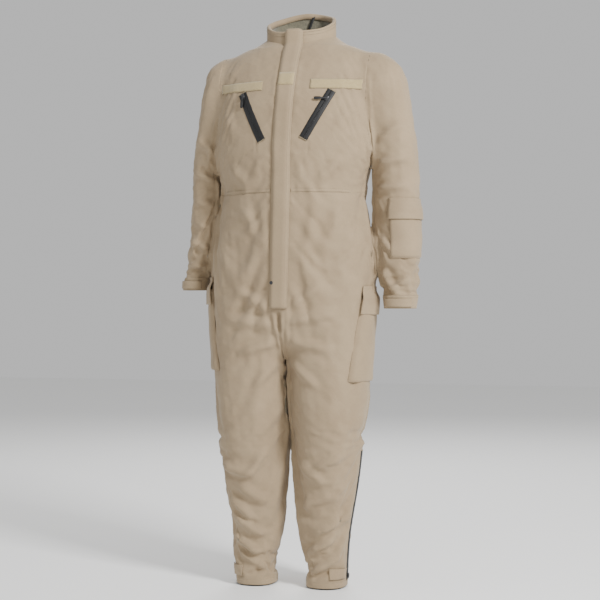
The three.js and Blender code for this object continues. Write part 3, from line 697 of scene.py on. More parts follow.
def sheet_mesh(name: str, grid: np.ndarray, facing: np.ndarray, thick: float, ring: bool = False) -> bpy.types.Object:
    """A thin closed sheet whose outer face is a grid of points.

    Args:
        name: the new object's name.
        grid: the outer points, by row and column.
        facing: the outward normals of those points.
        thick: the sheet's thickness.
        ring: whether the last column joins the first.

    Returns:
        The new object.
    """
    rows, columns = grid.shape[:2]
    count = rows * columns
    points = np.concatenate([grid.reshape(-1, 3), (grid - facing * thick).reshape(-1, 3)])
    faces = []
    across = columns if ring else columns - 1
    for r in range(rows - 1):
        for c in range(across):
            d = (c + 1) % columns
            a, b, e, f = r * columns + c, r * columns + d, (r + 1) * columns + d, (r + 1) * columns + c
            faces += [(a, b, e, f), (count + f, count + e, count + b, count + a)]
    for c in range(across):
        d = (c + 1) % columns
        low, high = (rows - 1) * columns + c, (rows - 1) * columns + d
        faces += [(d, c, count + c, count + d), (low, high, count + high, count + low)]
    if not ring:
        for r in range(rows - 1):
            a, b = r * columns, (r + 1) * columns
            faces += [(a, b, count + b, count + a)]
            a, b = a + columns - 1, b + columns - 1
            faces += [(b, a, count + a, count + b)]
    return outfaced(mesh_object(name, points, faces))


def block_row(
    name: str, path: np.ndarray, facing: np.ndarray, length: float, width: float, height: float, pitch: float
) -> bpy.types.Object:
    """A row of small rounded blocks along a path, such as stitches or a coil's turns.

    Args:
        name: the new object's name.
        path: the points of the path.
        facing: the normals along it.
        length: each block's length along the path.
        width: its width across the path.
        height: how far it stands over the path.
        pitch: the distance from one block to the next.

    Returns:
        The new object.
    """
    steps_along = np.linalg.norm(np.diff(path, axis=0), axis=1)
    run = np.concatenate([[0], np.cumsum(steps_along)])
    stops = np.arange(pitch / 2, run[-1], pitch)
    at = np.stack([np.interp(stops, run, path[:, k]) for k in range(3)], -1)
    up = np.stack([np.interp(stops, run, facing[:, k]) for k in range(3)], -1)
    up /= np.linalg.norm(up, axis=1, keepdims=True)
    ahead = np.stack(
        [np.interp(stops + 1e-3, run, path[:, k]) - np.interp(stops - 1e-3, run, path[:, k]) for k in range(3)], -1
    )
    ahead /= np.maximum(np.linalg.norm(ahead, axis=1, keepdims=True), 1e-9)
    side = np.cross(ahead, up)
    points, faces = [], []
    for p, n, t, s in zip(at, up, ahead, side):
        first = len(points)
        for along, across in ((-1, -1), (1, -1), (1, 1), (-1, 1)):
            points.append(p + t * along * length / 2 + s * across * width / 2 - n * height)
        for along, across in ((-0.6, -0.6), (0.6, -0.6), (0.6, 0.6), (-0.6, 0.6)):
            points.append(p + t * along * length / 2 + s * across * width / 2 + n * height)
        a = first
        faces += [(a + 3, a + 2, a + 1, a), (a + 4, a + 5, a + 6, a + 7)]
        faces += [(a + k, a + (k + 1) % 4, a + 4 + (k + 1) % 4, a + 4 + k) for k in range(4)]
    return mesh_object(name, np.array(points), faces)


def joined(name: str, parts: Sequence[bpy.types.Object]) -> bpy.types.Object:
    """One object made of several, which are removed."""
    bm = bmesh.new()
    for part in parts:
        bm.from_mesh(part.data)
        bpy.data.objects.remove(part)
    obj = mesh_object(name, np.zeros((0, 3)), [])
    bm.to_mesh(obj.data)
    bm.free()
    return obj


def joint_named(name: str) -> dict:
    """The frame's joint of that name."""
    return next(joint for joint in frame["joints"] if joint["name"] == name)


def bend_at(obj: bpy.types.Object, name: str, near: float, far: float, like: bpy.types.Object | None = None) -> None:
    """Sets a flap at its joint: it finds the joint's line and the way away from it, but only bakes its transform and
    doesn't bend it.

    Args:
        obj: the flap, or what is sewn on it.
        name: the joint.
        near: not used; where it would start to turn, in metres from the joint's line.
        far: not used; where it would have turned.
        like: the flap whose points give the way away from the joint, if that is another piece.
    """
    joint = joint_named(name)
    origin, axis = np.array(joint["pos_m"]), np.array(joint["axis"])
    away = coords(like or obj).mean(axis=0) - origin
    away -= axis * (away @ axis)
    away /= np.linalg.norm(away)
    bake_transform(obj)


class Workroom:
    """What every sewn piece needs: the draped cloth, the finishes and a way to lay pieces on the cloth."""

    def __init__(self, cloth: Cloth, finishes: "Finishes") -> None:
        """Keeps the cloth and the finishes."""
        self.cloth = cloth
        self.finishes = finishes

    def front(self, u: np.ndarray, z: np.ndarray) -> tuple[np.ndarray, np.ndarray]:
        """The form's front, u off the suit's middle line."""
        tube_of = self.cloth.torso
        x = lean(z) + u
        angle = tube_of.angle_at_x(x, np.maximum(z, FORM.waist_z * MM))
        above, facing = tube_of.point(angle, np.maximum(z, FORM.waist_z * MM))
        lower_angle = self.cloth.pelvis.angle_at_x(x, np.minimum(z, FORM.waist_z * MM))
        below, facing_low = self.cloth.pelvis.point(lower_angle, np.minimum(z, FORM.waist_z * MM))
        high = (z > FORM.waist_z * MM)[..., None]
        place = np.where(high, above, below)
        place[..., 0], place[..., 2] = x, z
        limit = (FORM.neck_y - FORM.neck_depth - 2) * MM
        place[..., 1] = np.minimum(place[..., 1], limit)
        return place, np.where(high, facing, facing_low)

    def ride(self, obj: bpy.types.Object, material: str, slot: str, body: str, *nodes: str) -> bpy.types.Object:
        """Dresses a piece, fixes it to a body and has it stand for CAD nodes.

        Args:
            obj: the piece.
            material: the finish's name.
            slot: not used; the record's material slot.
            body: the body that it moves with.
            nodes: the CAD nodes that it stands for.

        Returns:
            The piece.
        """
        dressed(obj, self.finishes.of(material))
        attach(obj, body)
        if nodes:
            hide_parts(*nodes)
        log.info("piece %s on %s", obj.name, body)
        return obj

    def sewn(
        self, obj: bpy.types.Object, material: str, slot: str, joint: str, near: float, far: float, *nodes: str
    ) -> bpy.types.Object:
        """Dresses a flap and sets it at its joint, without bending it.

        Args:
            obj: the flap.
            material: the finish's name.
            slot: not used; the record's material slot.
            joint: the joint at its sewn edge.
            near: where it starts to turn, from the joint's line.
            far: where it has turned.
            nodes: the CAD nodes that it stands for.

        Returns:
            The flap.
        """
        dressed(obj, self.finishes.of(material))
        bend_at(obj, joint, near, far)
        if nodes:
            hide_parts(*nodes)
        log.info("piece %s bends at %s", obj.name, joint)
        return obj

    def laid_path(
        self, place: Callable, us: Sequence[float], vs: Sequence[float], out: float, reach: float = 0.05
    ) -> tuple[np.ndarray, np.ndarray]:
        """A path laid on the cloth through (u, v) corners, and its normals."""
        us, vs = np.array(us, float), np.array(vs, float)
        t = np.linspace(0, len(us) - 1, 14 * (len(us) - 1) + 1)
        u, v = np.interp(t, range(len(us)), us), np.interp(t, range(len(vs)), vs)
        base, facing = place(u, v)
        return base + facing * (self.cloth.skin.depths(base, facing, reach) + out)[:, None], facing

    def stitches(self, name: str, path: np.ndarray, facing: np.ndarray) -> bpy.types.Object:
        """A row of lockstitches along a path."""
        return block_row(name, path, facing, 2.6 * MM, 0.7 * MM, 0.35 * MM, 3.6 * MM)

    def tied(
        self, name: str, lines: Iterable[tuple[np.ndarray, np.ndarray]], over: float = 0.1 * MM
    ) -> bpy.types.Object:
        """Rows of lockstitches as one piece.

        Args:
            name: the new object's name.
            lines: the path and the normals of each row.
            over: how far the rows stand over their paths.

        Returns:
            The new object.
        """
        return joined(name, [self.stitches("row", path + facing * over, facing) for path, facing in lines])

    def rows(
        self, name: str, lines: Iterable[tuple[np.ndarray, np.ndarray]], body: str = "shell", over: float = 0.1 * MM
    ) -> None:
        """Rows of lockstitches in the suit's thread, fixed to a body."""
        self.ride(self.tied(name, lines, over), "thread", "shell_cloth", body)


# ---------------------------------------------------------------- panels and seams


SEAM_OUT = np.array(
    [
        [-0.76, 0.24],
        [-0.638, 0.237],
        [-0.569, 0.227],
        [-0.5, 0.213],
        [-0.41, 0.204],
        [-0.345, 0.21],
        [-0.28, 0.2165],
        [-0.2, 0.203],
    ],
)


def armhole(p: np.ndarray) -> np.ndarray:
    """Above zero on a sleeve: how far a point is past the line between sleeve and body."""
    past = np.abs(p[:, 0] - lean(p[:, 2])) - np.interp(p[:, 2], SEAM_OUT[:, 0], SEAM_OUT[:, 1])
    return np.where(p[:, 2] < -0.77, -1, past)


class Panels:
    """The body, trouser and sleeve panels that the cloth is cut into."""

    thick = 1.4 * MM

    def __init__(self, room: Workroom) -> None:
        """Keeps the workroom."""
        self.room = room

    def name_of(self, p: np.ndarray) -> np.ndarray:
        """The panel that each place belongs to."""
        left = p[:, 0] > lean(p[:, 2])
        front = p[:, 1] < FORM.side_seam_y * MM
        upper = p[:, 2] > FORM.waist_z * MM
        side = np.where(left, "left", "right")
        body = np.where(
            upper, np.where(front, "front_panel", "back_panel"), np.where(front, "trouser_front", "trouser_back")
        )
        kind = np.where(armhole(p) > 0, "sleeve", body)
        name = np.char.add(np.char.add(side, "_"), kind)
        return np.where(kind == "back_panel", "back_panel", name)

    def build(self) -> None:
        """Cuts the cloth along its seams and gives each panel its thickness and lining."""
        surface = self.room.cloth.surface
        bm = bmesh.new()
        bm.from_mesh(surface.data)
        waist, seam = FORM.waist_z * MM, FORM.side_seam_y * MM
        cut(bm, armhole)
        cut(bm, lambda p: np.where(armhole(p) > 0, 1, p[:, 2] - waist))
        cut(bm, lambda p: np.where(armhole(p) > 0, 1, p[:, 1] - seam))
        cut(
            bm,
            lambda p: np.where((armhole(p) > 0) | ((p[:, 1] > seam) & (p[:, 2] > waist)), 1, p[:, 0] - lean(p[:, 2])),
        )
        rest = bm.verts.layers.float_vector["rest_place"]
        middles = np.array([np.mean([v[rest] for v in f.verts], axis=0) for f in bm.faces])
        names = self.name_of(middles)
        bm.verts.index_update()
        places = [tuple(v.co) for v in bm.verts]
        loops = [[v.index for v in f.verts] for f in bm.faces]
        bm.free()
        for name in sorted(set(names)):
            chosen = [loops[i] for i in np.nonzero(names == name)[0]]
            used = sorted({i for face in chosen for i in face})
            index = {old: new for new, old in enumerate(used)}
            panel = mesh_object(f"cloth_{name}", [places[i] for i in used], [[index[i] for i in f] for f in chosen])
            lining = panel.modifiers.new("thickness", "SOLIDIFY")
            lining.thickness, lining.offset = self.thick, -1
            lining.material_offset, lining.material_offset_rim = 1, 0
            panel.data.materials.append(self.room.finishes.of("shell"))
            panel.data.materials.append(self.room.finishes.of("backing"))
            smooth_shaded(baked(panel))
            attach(panel, "shell")
            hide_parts(name)
            log.info("panel %s: %d faces", name, len(panel.data.polygons))
        bpy.data.objects.remove(surface)


# ---------------------------------------------------------------- finishes


def linear(hex_colour: str) -> tuple[float, float, float, float]:
    """An sRGB hex colour as linear RGBA."""
    values = [int(hex_colour.lstrip("#")[i : i + 2], 16) / 255 for i in (0, 2, 4)]
    return (*[v / 12.92 if v <= 0.04045 else ((v + 0.055) / 1.055) ** 2.4 for v in values], 1.0)


def add_node(
    tree: bpy.types.NodeTree, kind: str, links: dict | None = None, values: dict | None = None, **settings
) -> bpy.types.Node:
    """Adds a node with its settings, its values and the links into it.

    Args:
        tree: the material's node tree.
        kind: the node's type name.
        links: for each input socket, the output socket that feeds it.
        values: for each input socket, its value.
        settings: the node's own settings.

    Returns:
        The new node.
    """
    node = tree.nodes.new(kind)
    for key, value in settings.items():
        setattr(node, key, value)
    for key, value in (values or {}).items():
        node.inputs[key].default_value = value
    for key, socket in (links or {}).items():
        tree.links.new(socket, node.inputs[key])
    return node


@dataclass(frozen=True)
class Finish:
    """A surface: its two close tones, its shine and the relief of its yarn or grain, in millimetres."""

    name: str
    tone: str
    second: str
    roughness: float
    grain_mm: float
    relief_mm: float
    blotch_mm: float = 90.0
    twill_mm: float = 0.0
    sheen: float = 0.0
    metallic: float = 0.0
    coat: float = 0.0

    def material(self) -> bpy.types.Material:
        """The finish as a material made of noise and bands at real sizes."""
        made = bpy.data.materials.new(self.name)
        made.use_nodes = True
        tree = made.node_tree
        shader = tree.nodes["Principled BSDF"]
        shader.inputs["Metallic"].default_value = self.metallic
        shader.inputs["Sheen Weight"].default_value = self.sheen
        shader.inputs["Sheen Roughness"].default_value = 0.6
        shader.inputs["Coat Weight"].default_value = self.coat
        place = add_node(tree, "ShaderNodeTexCoord").outputs["Object"]
        blotch = add_node(
            tree,
            "ShaderNodeTexNoise",
            {"Vector": place},
            {"Scale": 1000 / self.blotch_mm, "Detail": 4.0, "Roughness": 0.6},
        )
        grain = add_node(
            tree,
            "ShaderNodeTexNoise",
            {"Vector": place},
            {"Scale": 1000 / self.grain_mm, "Detail": 2.0, "Roughness": 0.6},
        )
        mixed = add_node(tree, "ShaderNodeMath", {0: blotch.outputs["Fac"], 1: grain.outputs["Fac"]}, operation="ADD")
        tones = add_node(
            tree,
            "ShaderNodeValToRGB",
            {"Fac": add_node(tree, "ShaderNodeMath", {0: mixed.outputs[0]}, {1: 0.5}, operation="MULTIPLY").outputs[0]},
        )
        tones.color_ramp.elements[0].position, tones.color_ramp.elements[0].color = 0.38, linear(self.second)
        tones.color_ramp.elements[1].position, tones.color_ramp.elements[1].color = 0.62, linear(self.tone)
        tree.links.new(tones.outputs["Color"], shader.inputs["Base Color"])
        dull = add_node(
            tree,
            "ShaderNodeMapRange",
            {"Value": grain.outputs["Fac"]},
            {"To Min": self.roughness - 0.06, "To Max": min(1.0, self.roughness + 0.06)},
        )
        tree.links.new(dull.outputs["Result"], shader.inputs["Roughness"])
        height = grain.outputs["Fac"]
        if self.twill_mm:
            bands = add_node(
                tree,
                "ShaderNodeTexWave",
                {"Vector": place},
                {"Scale": 2 * math.pi / (10 * math.sqrt(3) * self.twill_mm * MM), "Distortion": 1.2, "Detail": 1.0},
                bands_direction="DIAGONAL",
            )
            height = add_node(
                tree,
                "ShaderNodeMath",
                {0: bands.outputs["Fac"], 2: grain.outputs["Fac"]},
                {1: 0.25},
                operation="MULTIPLY_ADD",
            ).outputs[0]
        bump = add_node(tree, "ShaderNodeBump", {"Height": height}, {"Strength": 0.6, "Distance": self.relief_mm * MM})
        tree.links.new(bump.outputs["Normal"], shader.inputs["Normal"])
        return made


class Finishes:
    """The suit's finishes, each named for what it really is."""

    kinds = {
        # Polyester-cotton twill with a water-repellent face: matt. Its diagonal is 9.6 mm wide, far coarser than a real
        # twill's.
        "shell": Finish("polycotton_twill", "#9f8b6e", "#917d61", 0.82, 1.6, 0.35, twill_mm=9.6, sheen=0.12),
        # The twill's inner face, a brushed knit backing: darker and duller than the outside.
        "backing": Finish("brushed_knit_backing", "#7d7460", "#6d6552", 0.95, 2.2, 0.4, sheen=0.2),
        # Polyester fleece: a soft deep pile that swallows light, with a halo at its edges.
        "fleece": Finish("polyester_fleece", "#6e6853", "#4f4b3a", 1.0 - 0.06, 3.2, 1.4, blotch_mm=14, sheen=0.6),
        # Nylon loop tape: a short curly pile, paler and yellower than the cloth.
        "loop": Finish("nylon_loop_tape", "#ad9a6f", "#a08d63", 0.9, 1.4, 0.8, blotch_mm=6, sheen=0.3),
        # Polyurethane-laminated zip tape: black with a dull gloss.
        "tape": Finish("laminated_zip_tape", "#111213", "#0b0b0c", 0.55, 1.2, 0.12),
        # Nylon coil: smooth hard turns that catch small lights.
        "coil": Finish("nylon_coil", "#161618", "#101011", 0.34, 0.8, 0.03),
        # Die-cast zinc with black enamel: smooth, worn a little on its edges.
        "metal": Finish("black_enamelled_zinc", "#2c2c2f", "#232325", 0.36, 0.9, 0.04, coat=0.35),
        # Moulded soft PVC and braided cord: matt black.
        "rubber": Finish("soft_pvc", "#1a1b1d", "#141416", 0.66, 1.1, 0.1),
        # Polyester core-spun thread, a shade darker than the twill.
        "thread": Finish("core_spun_thread", "#9b8d73", "#887b63", 0.7, 0.8, 0.1),
        # The same thread in black, for the bars at the ends of the zips.
        "bar": Finish("black_bartack_thread", "#26262a", "#1c1c1f", 0.7, 0.8, 0.1),
    }

    def __init__(self) -> None:
        """Starts with no material made."""
        self.made: dict[str, bpy.types.Material] = {}

    def of(self, kind: str) -> bpy.types.Material:
        """The material of that kind, made when it is first asked for."""
        if kind not in self.made:
            self.made[kind] = self.kinds[kind].material()
        return self.made[kind]


# ---------------------------------------------------------------- collar


@dataclass
class Collar:
    """The stand collar: a shell that folds over its top edge, a fleece lining and a hanger loop."""

    room: Workroom
    half: float = 96 * MM
    depth: float = 78 * MM
    y: float = 26 * MM
    foot_swing: float = 18 * MM
    top_middle: float = 66 * MM
    top_swing: float = 38 * MM
    opening: float = 0.1
    fold: float = 15 * MM
    wall: float = 2.2 * MM
    pile: float = 4.2 * MM

    def ring(self, t: np.ndarray, z: np.ndarray, inset: np.ndarray) -> np.ndarray:
        """Points round the collar, inset from its outer face."""
        wave = 1.4 * MM * np.sin(5 * t + 0.6) + 1.0 * MM * np.sin(9 * t + 2)
        share = (z + 0.02) / 0.1
        x = float(lean(0.0)) + (self.half - inset + wave * share) * np.sin(t)
        y = self.y - (self.depth - inset + wave * share) * np.cos(t)
        return np.stack(np.broadcast_arrays(x, y, z), -1)

    def edge(self, t: np.ndarray) -> np.ndarray:
        """The height of the collar's top edge, a little uneven."""
        return self.top_middle - self.top_swing * np.cos(t) - 2.0 * MM + 1.6 * MM * np.sin(4 * t + 1.2)

    def build(self) -> None:
        """Builds the collar's pieces."""
        t = np.linspace(self.opening, 2 * math.pi - self.opening, 121)
        foot = -self.foot_swing * np.cos(t) - 5 * MM
        top = self.edge(t)
        rows = [
            (foot + (top - foot) * s, np.full_like(t, -1.0 * MM * math.sin(math.pi * s))) for s in np.linspace(0, 1, 12)
        ]
        rows += [(top + 1.5 * MM, np.full_like(t, inset)) for inset in (1.2 * MM, self.pile + 1.5 * MM)]
        rows.append((top, np.full_like(t, self.pile + self.wall + 2.6 * MM)))
        rows += [(top - self.fold * s, np.full_like(t, self.pile + self.wall + 3.6 * MM)) for s in (0.4, 1.0)]
        grid = np.stack([self.ring(t, z, inset) for z, inset in rows])
        shell = sheet_mesh("collar_cloth", grid, grid_normals(grid), 1.4 * MM)
        self.room.ride(shell, "shell", "shell_cloth", "shell", "collar_shell")
        low, high, inset = foot + 6 * MM, top - 3 * MM, np.full_like(t, self.wall + 0.2 * MM)
        inner = np.stack([self.ring(t, low + (high - low) * s, inset) for s in np.linspace(0, 1, 14)])
        flat = inner.reshape(-1, 3)
        inner = inner - grid_normals(inner) * (
            0.5 * MM * (1 + ripple(flat, 0.02, 9).reshape(inner.shape[:2]))
        )[..., None]
        lining = sheet_mesh("collar_fleece", inner, grid_normals(inner), self.pile)
        self.room.ride(lining, "fleece", "fleece_lining", "shell", "collar_lining")
        self.loop()
        lines = [self.ring(t, self.edge(t) - height, np.full_like(t, -1.3 * MM)) for height in (4 * MM, 12 * MM)]
        self.room.rows("collar_stitches", [(line, outward(line, float(lean(0.0)), self.y)) for line in lines], over=0)

    def loop(self) -> None:
        """The hanger loop inside the back of the collar."""
        s = np.linspace(0, 1, 16)
        x = (27 - 14 * s) * MM
        z = (93 - 36 * s) * MM
        y = (93.4 - 0.6 * np.sin(math.pi * s)) * MM - 0.004
        across = np.array([0.94, 0, 0.34]) * 4.5 * MM
        path = np.stack([x, y, z], -1)
        grid = np.stack([path - across, path, path + across], 0).transpose(1, 0, 2)
        facing = np.broadcast_to(np.array([0.0, -1.0, 0.0]), grid.shape)
        self.room.ride(sheet_mesh("hanger_strap", grid, facing, 1.4 * MM), "tape", "zip_tape", "shell", "hanger_loop")


def grid_normals(grid: np.ndarray) -> np.ndarray:
    """The normals of a grid of points, from its columns crossed with its rows going down."""
    across = np.gradient(grid, axis=1)
    down = np.gradient(grid, axis=0)
    out = np.cross(across, down)
    out /= np.maximum(np.linalg.norm(out, axis=-1, keepdims=True), 1e-9)
    return out


def outward(line: np.ndarray, x: float, y: float) -> np.ndarray:
    """Level normals that point away from an upright line at (x, y)."""
    away = line - np.array([x, y, 0.0])
    away[:, 2] = 0
    return away / np.linalg.norm(away, axis=1, keepdims=True)


# ---------------------------------------------------------------- front closure


@dataclass
class FrontClosure:
    """The two-way front zip under its storm fly, with the fly's loop patch and snap."""

    room: Workroom
    top: float = FORM.fly_top * MM
    bottom: float = FORM.fly_bottom * MM
    half: float = FORM.fly_width / 2 * MM
    rise: float = 6.4 * MM
    cloth: float = 1.8 * MM
    tape: float = 12 * MM

    def fly_place(self, out: Callable) -> tuple[np.ndarray, np.ndarray, np.ndarray, np.ndarray]:
        """The fly's grid: its columns, its rows, its points and its normals."""
        us = np.array([-1, -0.97, -0.86, -0.72, -0.5, -0.25, 0, 0.25, 0.5, 0.7, 0.84, 0.92, 1]) * self.half
        vs = np.linspace(self.top, self.bottom, 110)
        base, facing = self.room.cloth.skin.laid(self.room.front, us, vs, 14)
        u, z = np.meshgrid(us, vs)
        return u, z, base + facing * out(u, z)[..., None], facing

    def height(self, u: np.ndarray, z: np.ndarray) -> np.ndarray:
        """How far the fly's outer face stands over the cloth."""
        crown = ease((u + self.half) / (9 * MM)) * ease((self.half - u) / (11 * MM))
        free = 1.6 * MM * ease(-u / self.half) * (
            1 + ripple(np.stack([0 * z.ravel(), 0 * z.ravel(), z.ravel()], -1), 0.11, 4).reshape(z.shape)
        )
        return 2.2 * MM + self.rise * crown + 0.6 * free

    def build(self) -> None:
        """Builds the zip first, then the fly over it."""
        room = self.room
        zs = np.linspace(self.top - 4 * MM, self.bottom + 10 * MM, 70)
        for side in Side:
            us = np.array(sorted([side.value * 0.6 * MM, side.value * self.tape]))
            base, facing = room.cloth.skin.laid(room.front, us, zs, 10)
            strip = sheet_mesh(f"front_tape_{side.word}", base + facing * 1.2 * MM, facing, 0.9 * MM)
            room.ride(strip, "tape", "zip_tape", "shell", f"front_zip_tape_{side.word}")
        line, facing = room.laid_path(
            room.front, [0] * 12, np.linspace(self.top - 4 * MM, self.bottom + 12 * MM, 12), 1.6 * MM
        )
        room.ride(
            block_row("front_coil", line, facing, 1.5 * MM, 5 * MM, 0.7 * MM, 2.2 * MM), "coil", "zip_tape", "shell"
        )
        for which, z in (("upper", -37 * MM), ("lower", self.bottom + 21 * MM)):
            spot, normal = room.laid_path(room.front, [0, 0], [z + MM, z - MM], 3.0 * MM)
            body = slider_mesh(
                f"front_slider_{which}", spot[len(spot) // 2], normal[0], np.array([0, 0, -1.0]), 1.3 * MM
            )
            room.ride(body, "metal", "zip_metal", f"front_zip_{which}", f"front_zip_{which}_slider")
        u, z, grid, facing = self.fly_place(self.height)
        room.sewn(
            sheet_mesh("fly_cloth", grid, facing, self.cloth),
            "shell",
            "shell_cloth",
            "fly_turn",
            0.001,
            0.009,
            "storm_fly",
        )
        self.rows_and_patch(u, z, grid, facing)

    def rows_and_patch(self, u: np.ndarray, z: np.ndarray, grid: np.ndarray, facing: np.ndarray) -> None:
        """Stitch rows along the fly, its loop patch, its bar and its snap."""
        room = self.room
        columns = [int(np.argmin(np.abs(u[0] / self.half - share))) for share in (-0.86, 0.7)]
        room.rows("fly_stitches", [(grid[:, column], facing[:, column]) for column in columns], "fly")
        room.rows("fly_edge_stitches", [(grid[:, -2], facing[:, -2])])
        pick = (z[:, 0] < -0.094) & (z[:, 0] > -0.134)
        patch = grid[pick][:, 2:11] + facing[pick][:, 2:11] * 1.3 * MM
        room.ride(
            sheet_mesh("fly_patch", patch, facing[pick][:, 2:11], 1.4 * MM),
            "loop",
            "loop_tape",
            "fly",
            "fly_loop_patch",
        )
        row = int(np.argmin(np.abs(z[:, 0] + 0.655)))
        snap = dome_mesh("fly_button", grid[row, 3], facing[row, 3], 5 * MM, 1.6 * MM)
        room.ride(snap, "metal", "zip_metal", "fly", "fly_snap")
        bar = int(np.argmin(np.abs(z[:, 0] + 0.652)))
        line = np.array([grid[bar, 1], grid[bar, 4]])
        tack = block_row("fly_bar", line, facing[bar, [1, 4]], 1.3 * MM, 3 * MM, 0.6 * MM, 1.4 * MM)
        room.ride(tack, "thread", "shell_cloth", "fly")


def slider_mesh(name: str, centre: np.ndarray, up: np.ndarray, along: np.ndarray, tall: float) -> bpy.types.Object:
    """A zip slider: a waisted plate with a raised bridge, 14 mm long.

    Args:
        name: the new object's name.
        centre: the middle of its underside.
        up: the way it faces.
        along: the way that it runs.
        tall: half its height.

    Returns:
        The new object.
    """
    up = up / np.linalg.norm(up)
    along = along - up * (along @ up)
    along = along / np.linalg.norm(along)
    side = np.cross(up, along)
    outline = [
        (-7, -3.2), (-4, -4.6), (0, -4.4), (5, -3.2), (7, -2.2), (7, 2.2), (5, 3.2), (0, 4.4), (-4, 4.6), (-7, 3.2)
    ]
    layers = ((0, 1), (tall * 1.1, 1.02), (tall * 1.5, 0.8), (tall * 2.1, 0.4))
    rings = [[centre + (along * a + side * b) * MM * size + up * rise for a, b in outline] for rise, size in layers]
    return outfaced(lofted(name, np.array(rings)))


def dome_mesh(name: str, centre: np.ndarray, up: np.ndarray, radius: float, tall: float) -> bpy.types.Object:
    """A shallow domed button."""
    up = up / np.linalg.norm(up)
    side = np.cross(up, [1.0, 0, 0])
    side /= np.linalg.norm(side)
    other = np.cross(up, side)
    angles = np.arange(24) * 2 * math.pi / 24
    profile = [(1, -0.6), (1, 0.2), (0.9, 0.55), (0.62, 0.85), (0.5, 0.7), (0.2, 0.72)]
    rim = [side * math.cos(a) + other * math.sin(a) for a in angles]
    return lofted(name, np.array([[centre + radius * r * way + up * tall * h for way in rim] for r, h in profile]))


# ---------------------------------------------------------------- zips on the body and legs


@dataclass(frozen=True)
class Track:
    """A straight line on the suit that a zip lies along: its start, its ways along, out and across, and its length."""

    start: tuple[float, float, float]
    along: tuple[float, float, float]
    out: tuple[float, float, float]
    length: float

    def place(self, u: np.ndarray, v: np.ndarray) -> tuple[np.ndarray, np.ndarray]:
        """Points u across and v along, with the normals."""
        along, out = np.array(self.along), np.array(self.out)
        across = np.cross(out, along)
        points = np.array(self.start) + u[..., None] * across + v[..., None] * along
        return points, np.broadcast_to(out / np.linalg.norm(out), points.shape).copy()


class Zip:
    """A zip sewn on the outside: a laminated tape, its coil, a bar at each end and a slider."""

    def __init__(
        self, room: Workroom, name: str, place: Callable, half: float, length: float, reach: float = 0.05
    ) -> None:
        """Keeps where the zip lies, its size and how near other cloth is."""
        self.room, self.name, self.place, self.half, self.length, self.reach = room, name, place, half, length, reach

    def build(self, node: str, down: np.ndarray, slider_at: float, slider_body: str, slider_node: str) -> np.ndarray:
        """Builds the zip.

        Args:
            node: the CAD node of its tape.
            down: the way the zip runs.
            slider_at: how far along the slider rests.
            slider_body: the body that the slider rides on.
            slider_node: the slider's CAD node.

        Returns:
            The point on top of the slider.
        """
        room, half = self.room, self.half
        vs = np.linspace(0, self.length, 34)
        us = np.array([-1, -0.9, -0.5, -0.14, 0, 0.14, 0.5, 0.9, 1]) * half
        base, facing = room.cloth.skin.laid(self.place, us, vs, 10, self.reach)
        u = np.abs(us)[None, :] / half
        swell = (0.6 + 1.0 * ease((1 - u) / 0.2)) * MM
        grid = base + facing * np.broadcast_to(swell, base.shape[:2])[..., None]
        tape = sheet_mesh(f"{self.name}_laminate", grid, facing, 1.4 * MM)
        room.ride(tape, "tape", "zip_tape", "shell", node)
        middle, up = grid[:, 4], facing[:, 4]
        coil = block_row(f"{self.name}_coil", middle + up * 0.3 * MM, up, 1.4 * MM, 4.6 * MM, 0.6 * MM, 2.2 * MM)
        room.ride(coil, "coil", "zip_tape", "shell")
        rows = room.tied(f"{self.name}_stitches", [(grid[:, k], up) for k in (1, 7)], 0.15 * MM)
        room.ride(rows, "bar", "zip_tape", "shell")
        ends = [(grid[k][[1, 7]] + facing[k][[1, 7]] * 0.5 * MM, facing[k][[1, 7]]) for k in (0, -1)]
        bars = [block_row("zip_bar", *end, 1.2 * MM, 3.2 * MM, 0.7 * MM, 1.3 * MM) for end in ends]
        room.ride(joined(f"{self.name}_bars", bars), "thread", "shell_cloth", "shell")
        at = int(np.argmin(np.abs(vs - slider_at)))
        body = slider_mesh(f"{self.name}_runner", middle[at] + up[at] * 1.7 * MM, up[at], down, 1.3 * MM)
        room.ride(body, "metal", "zip_metal", slider_body, slider_node)
        return middle[at] + up[at] * 4.5 * MM


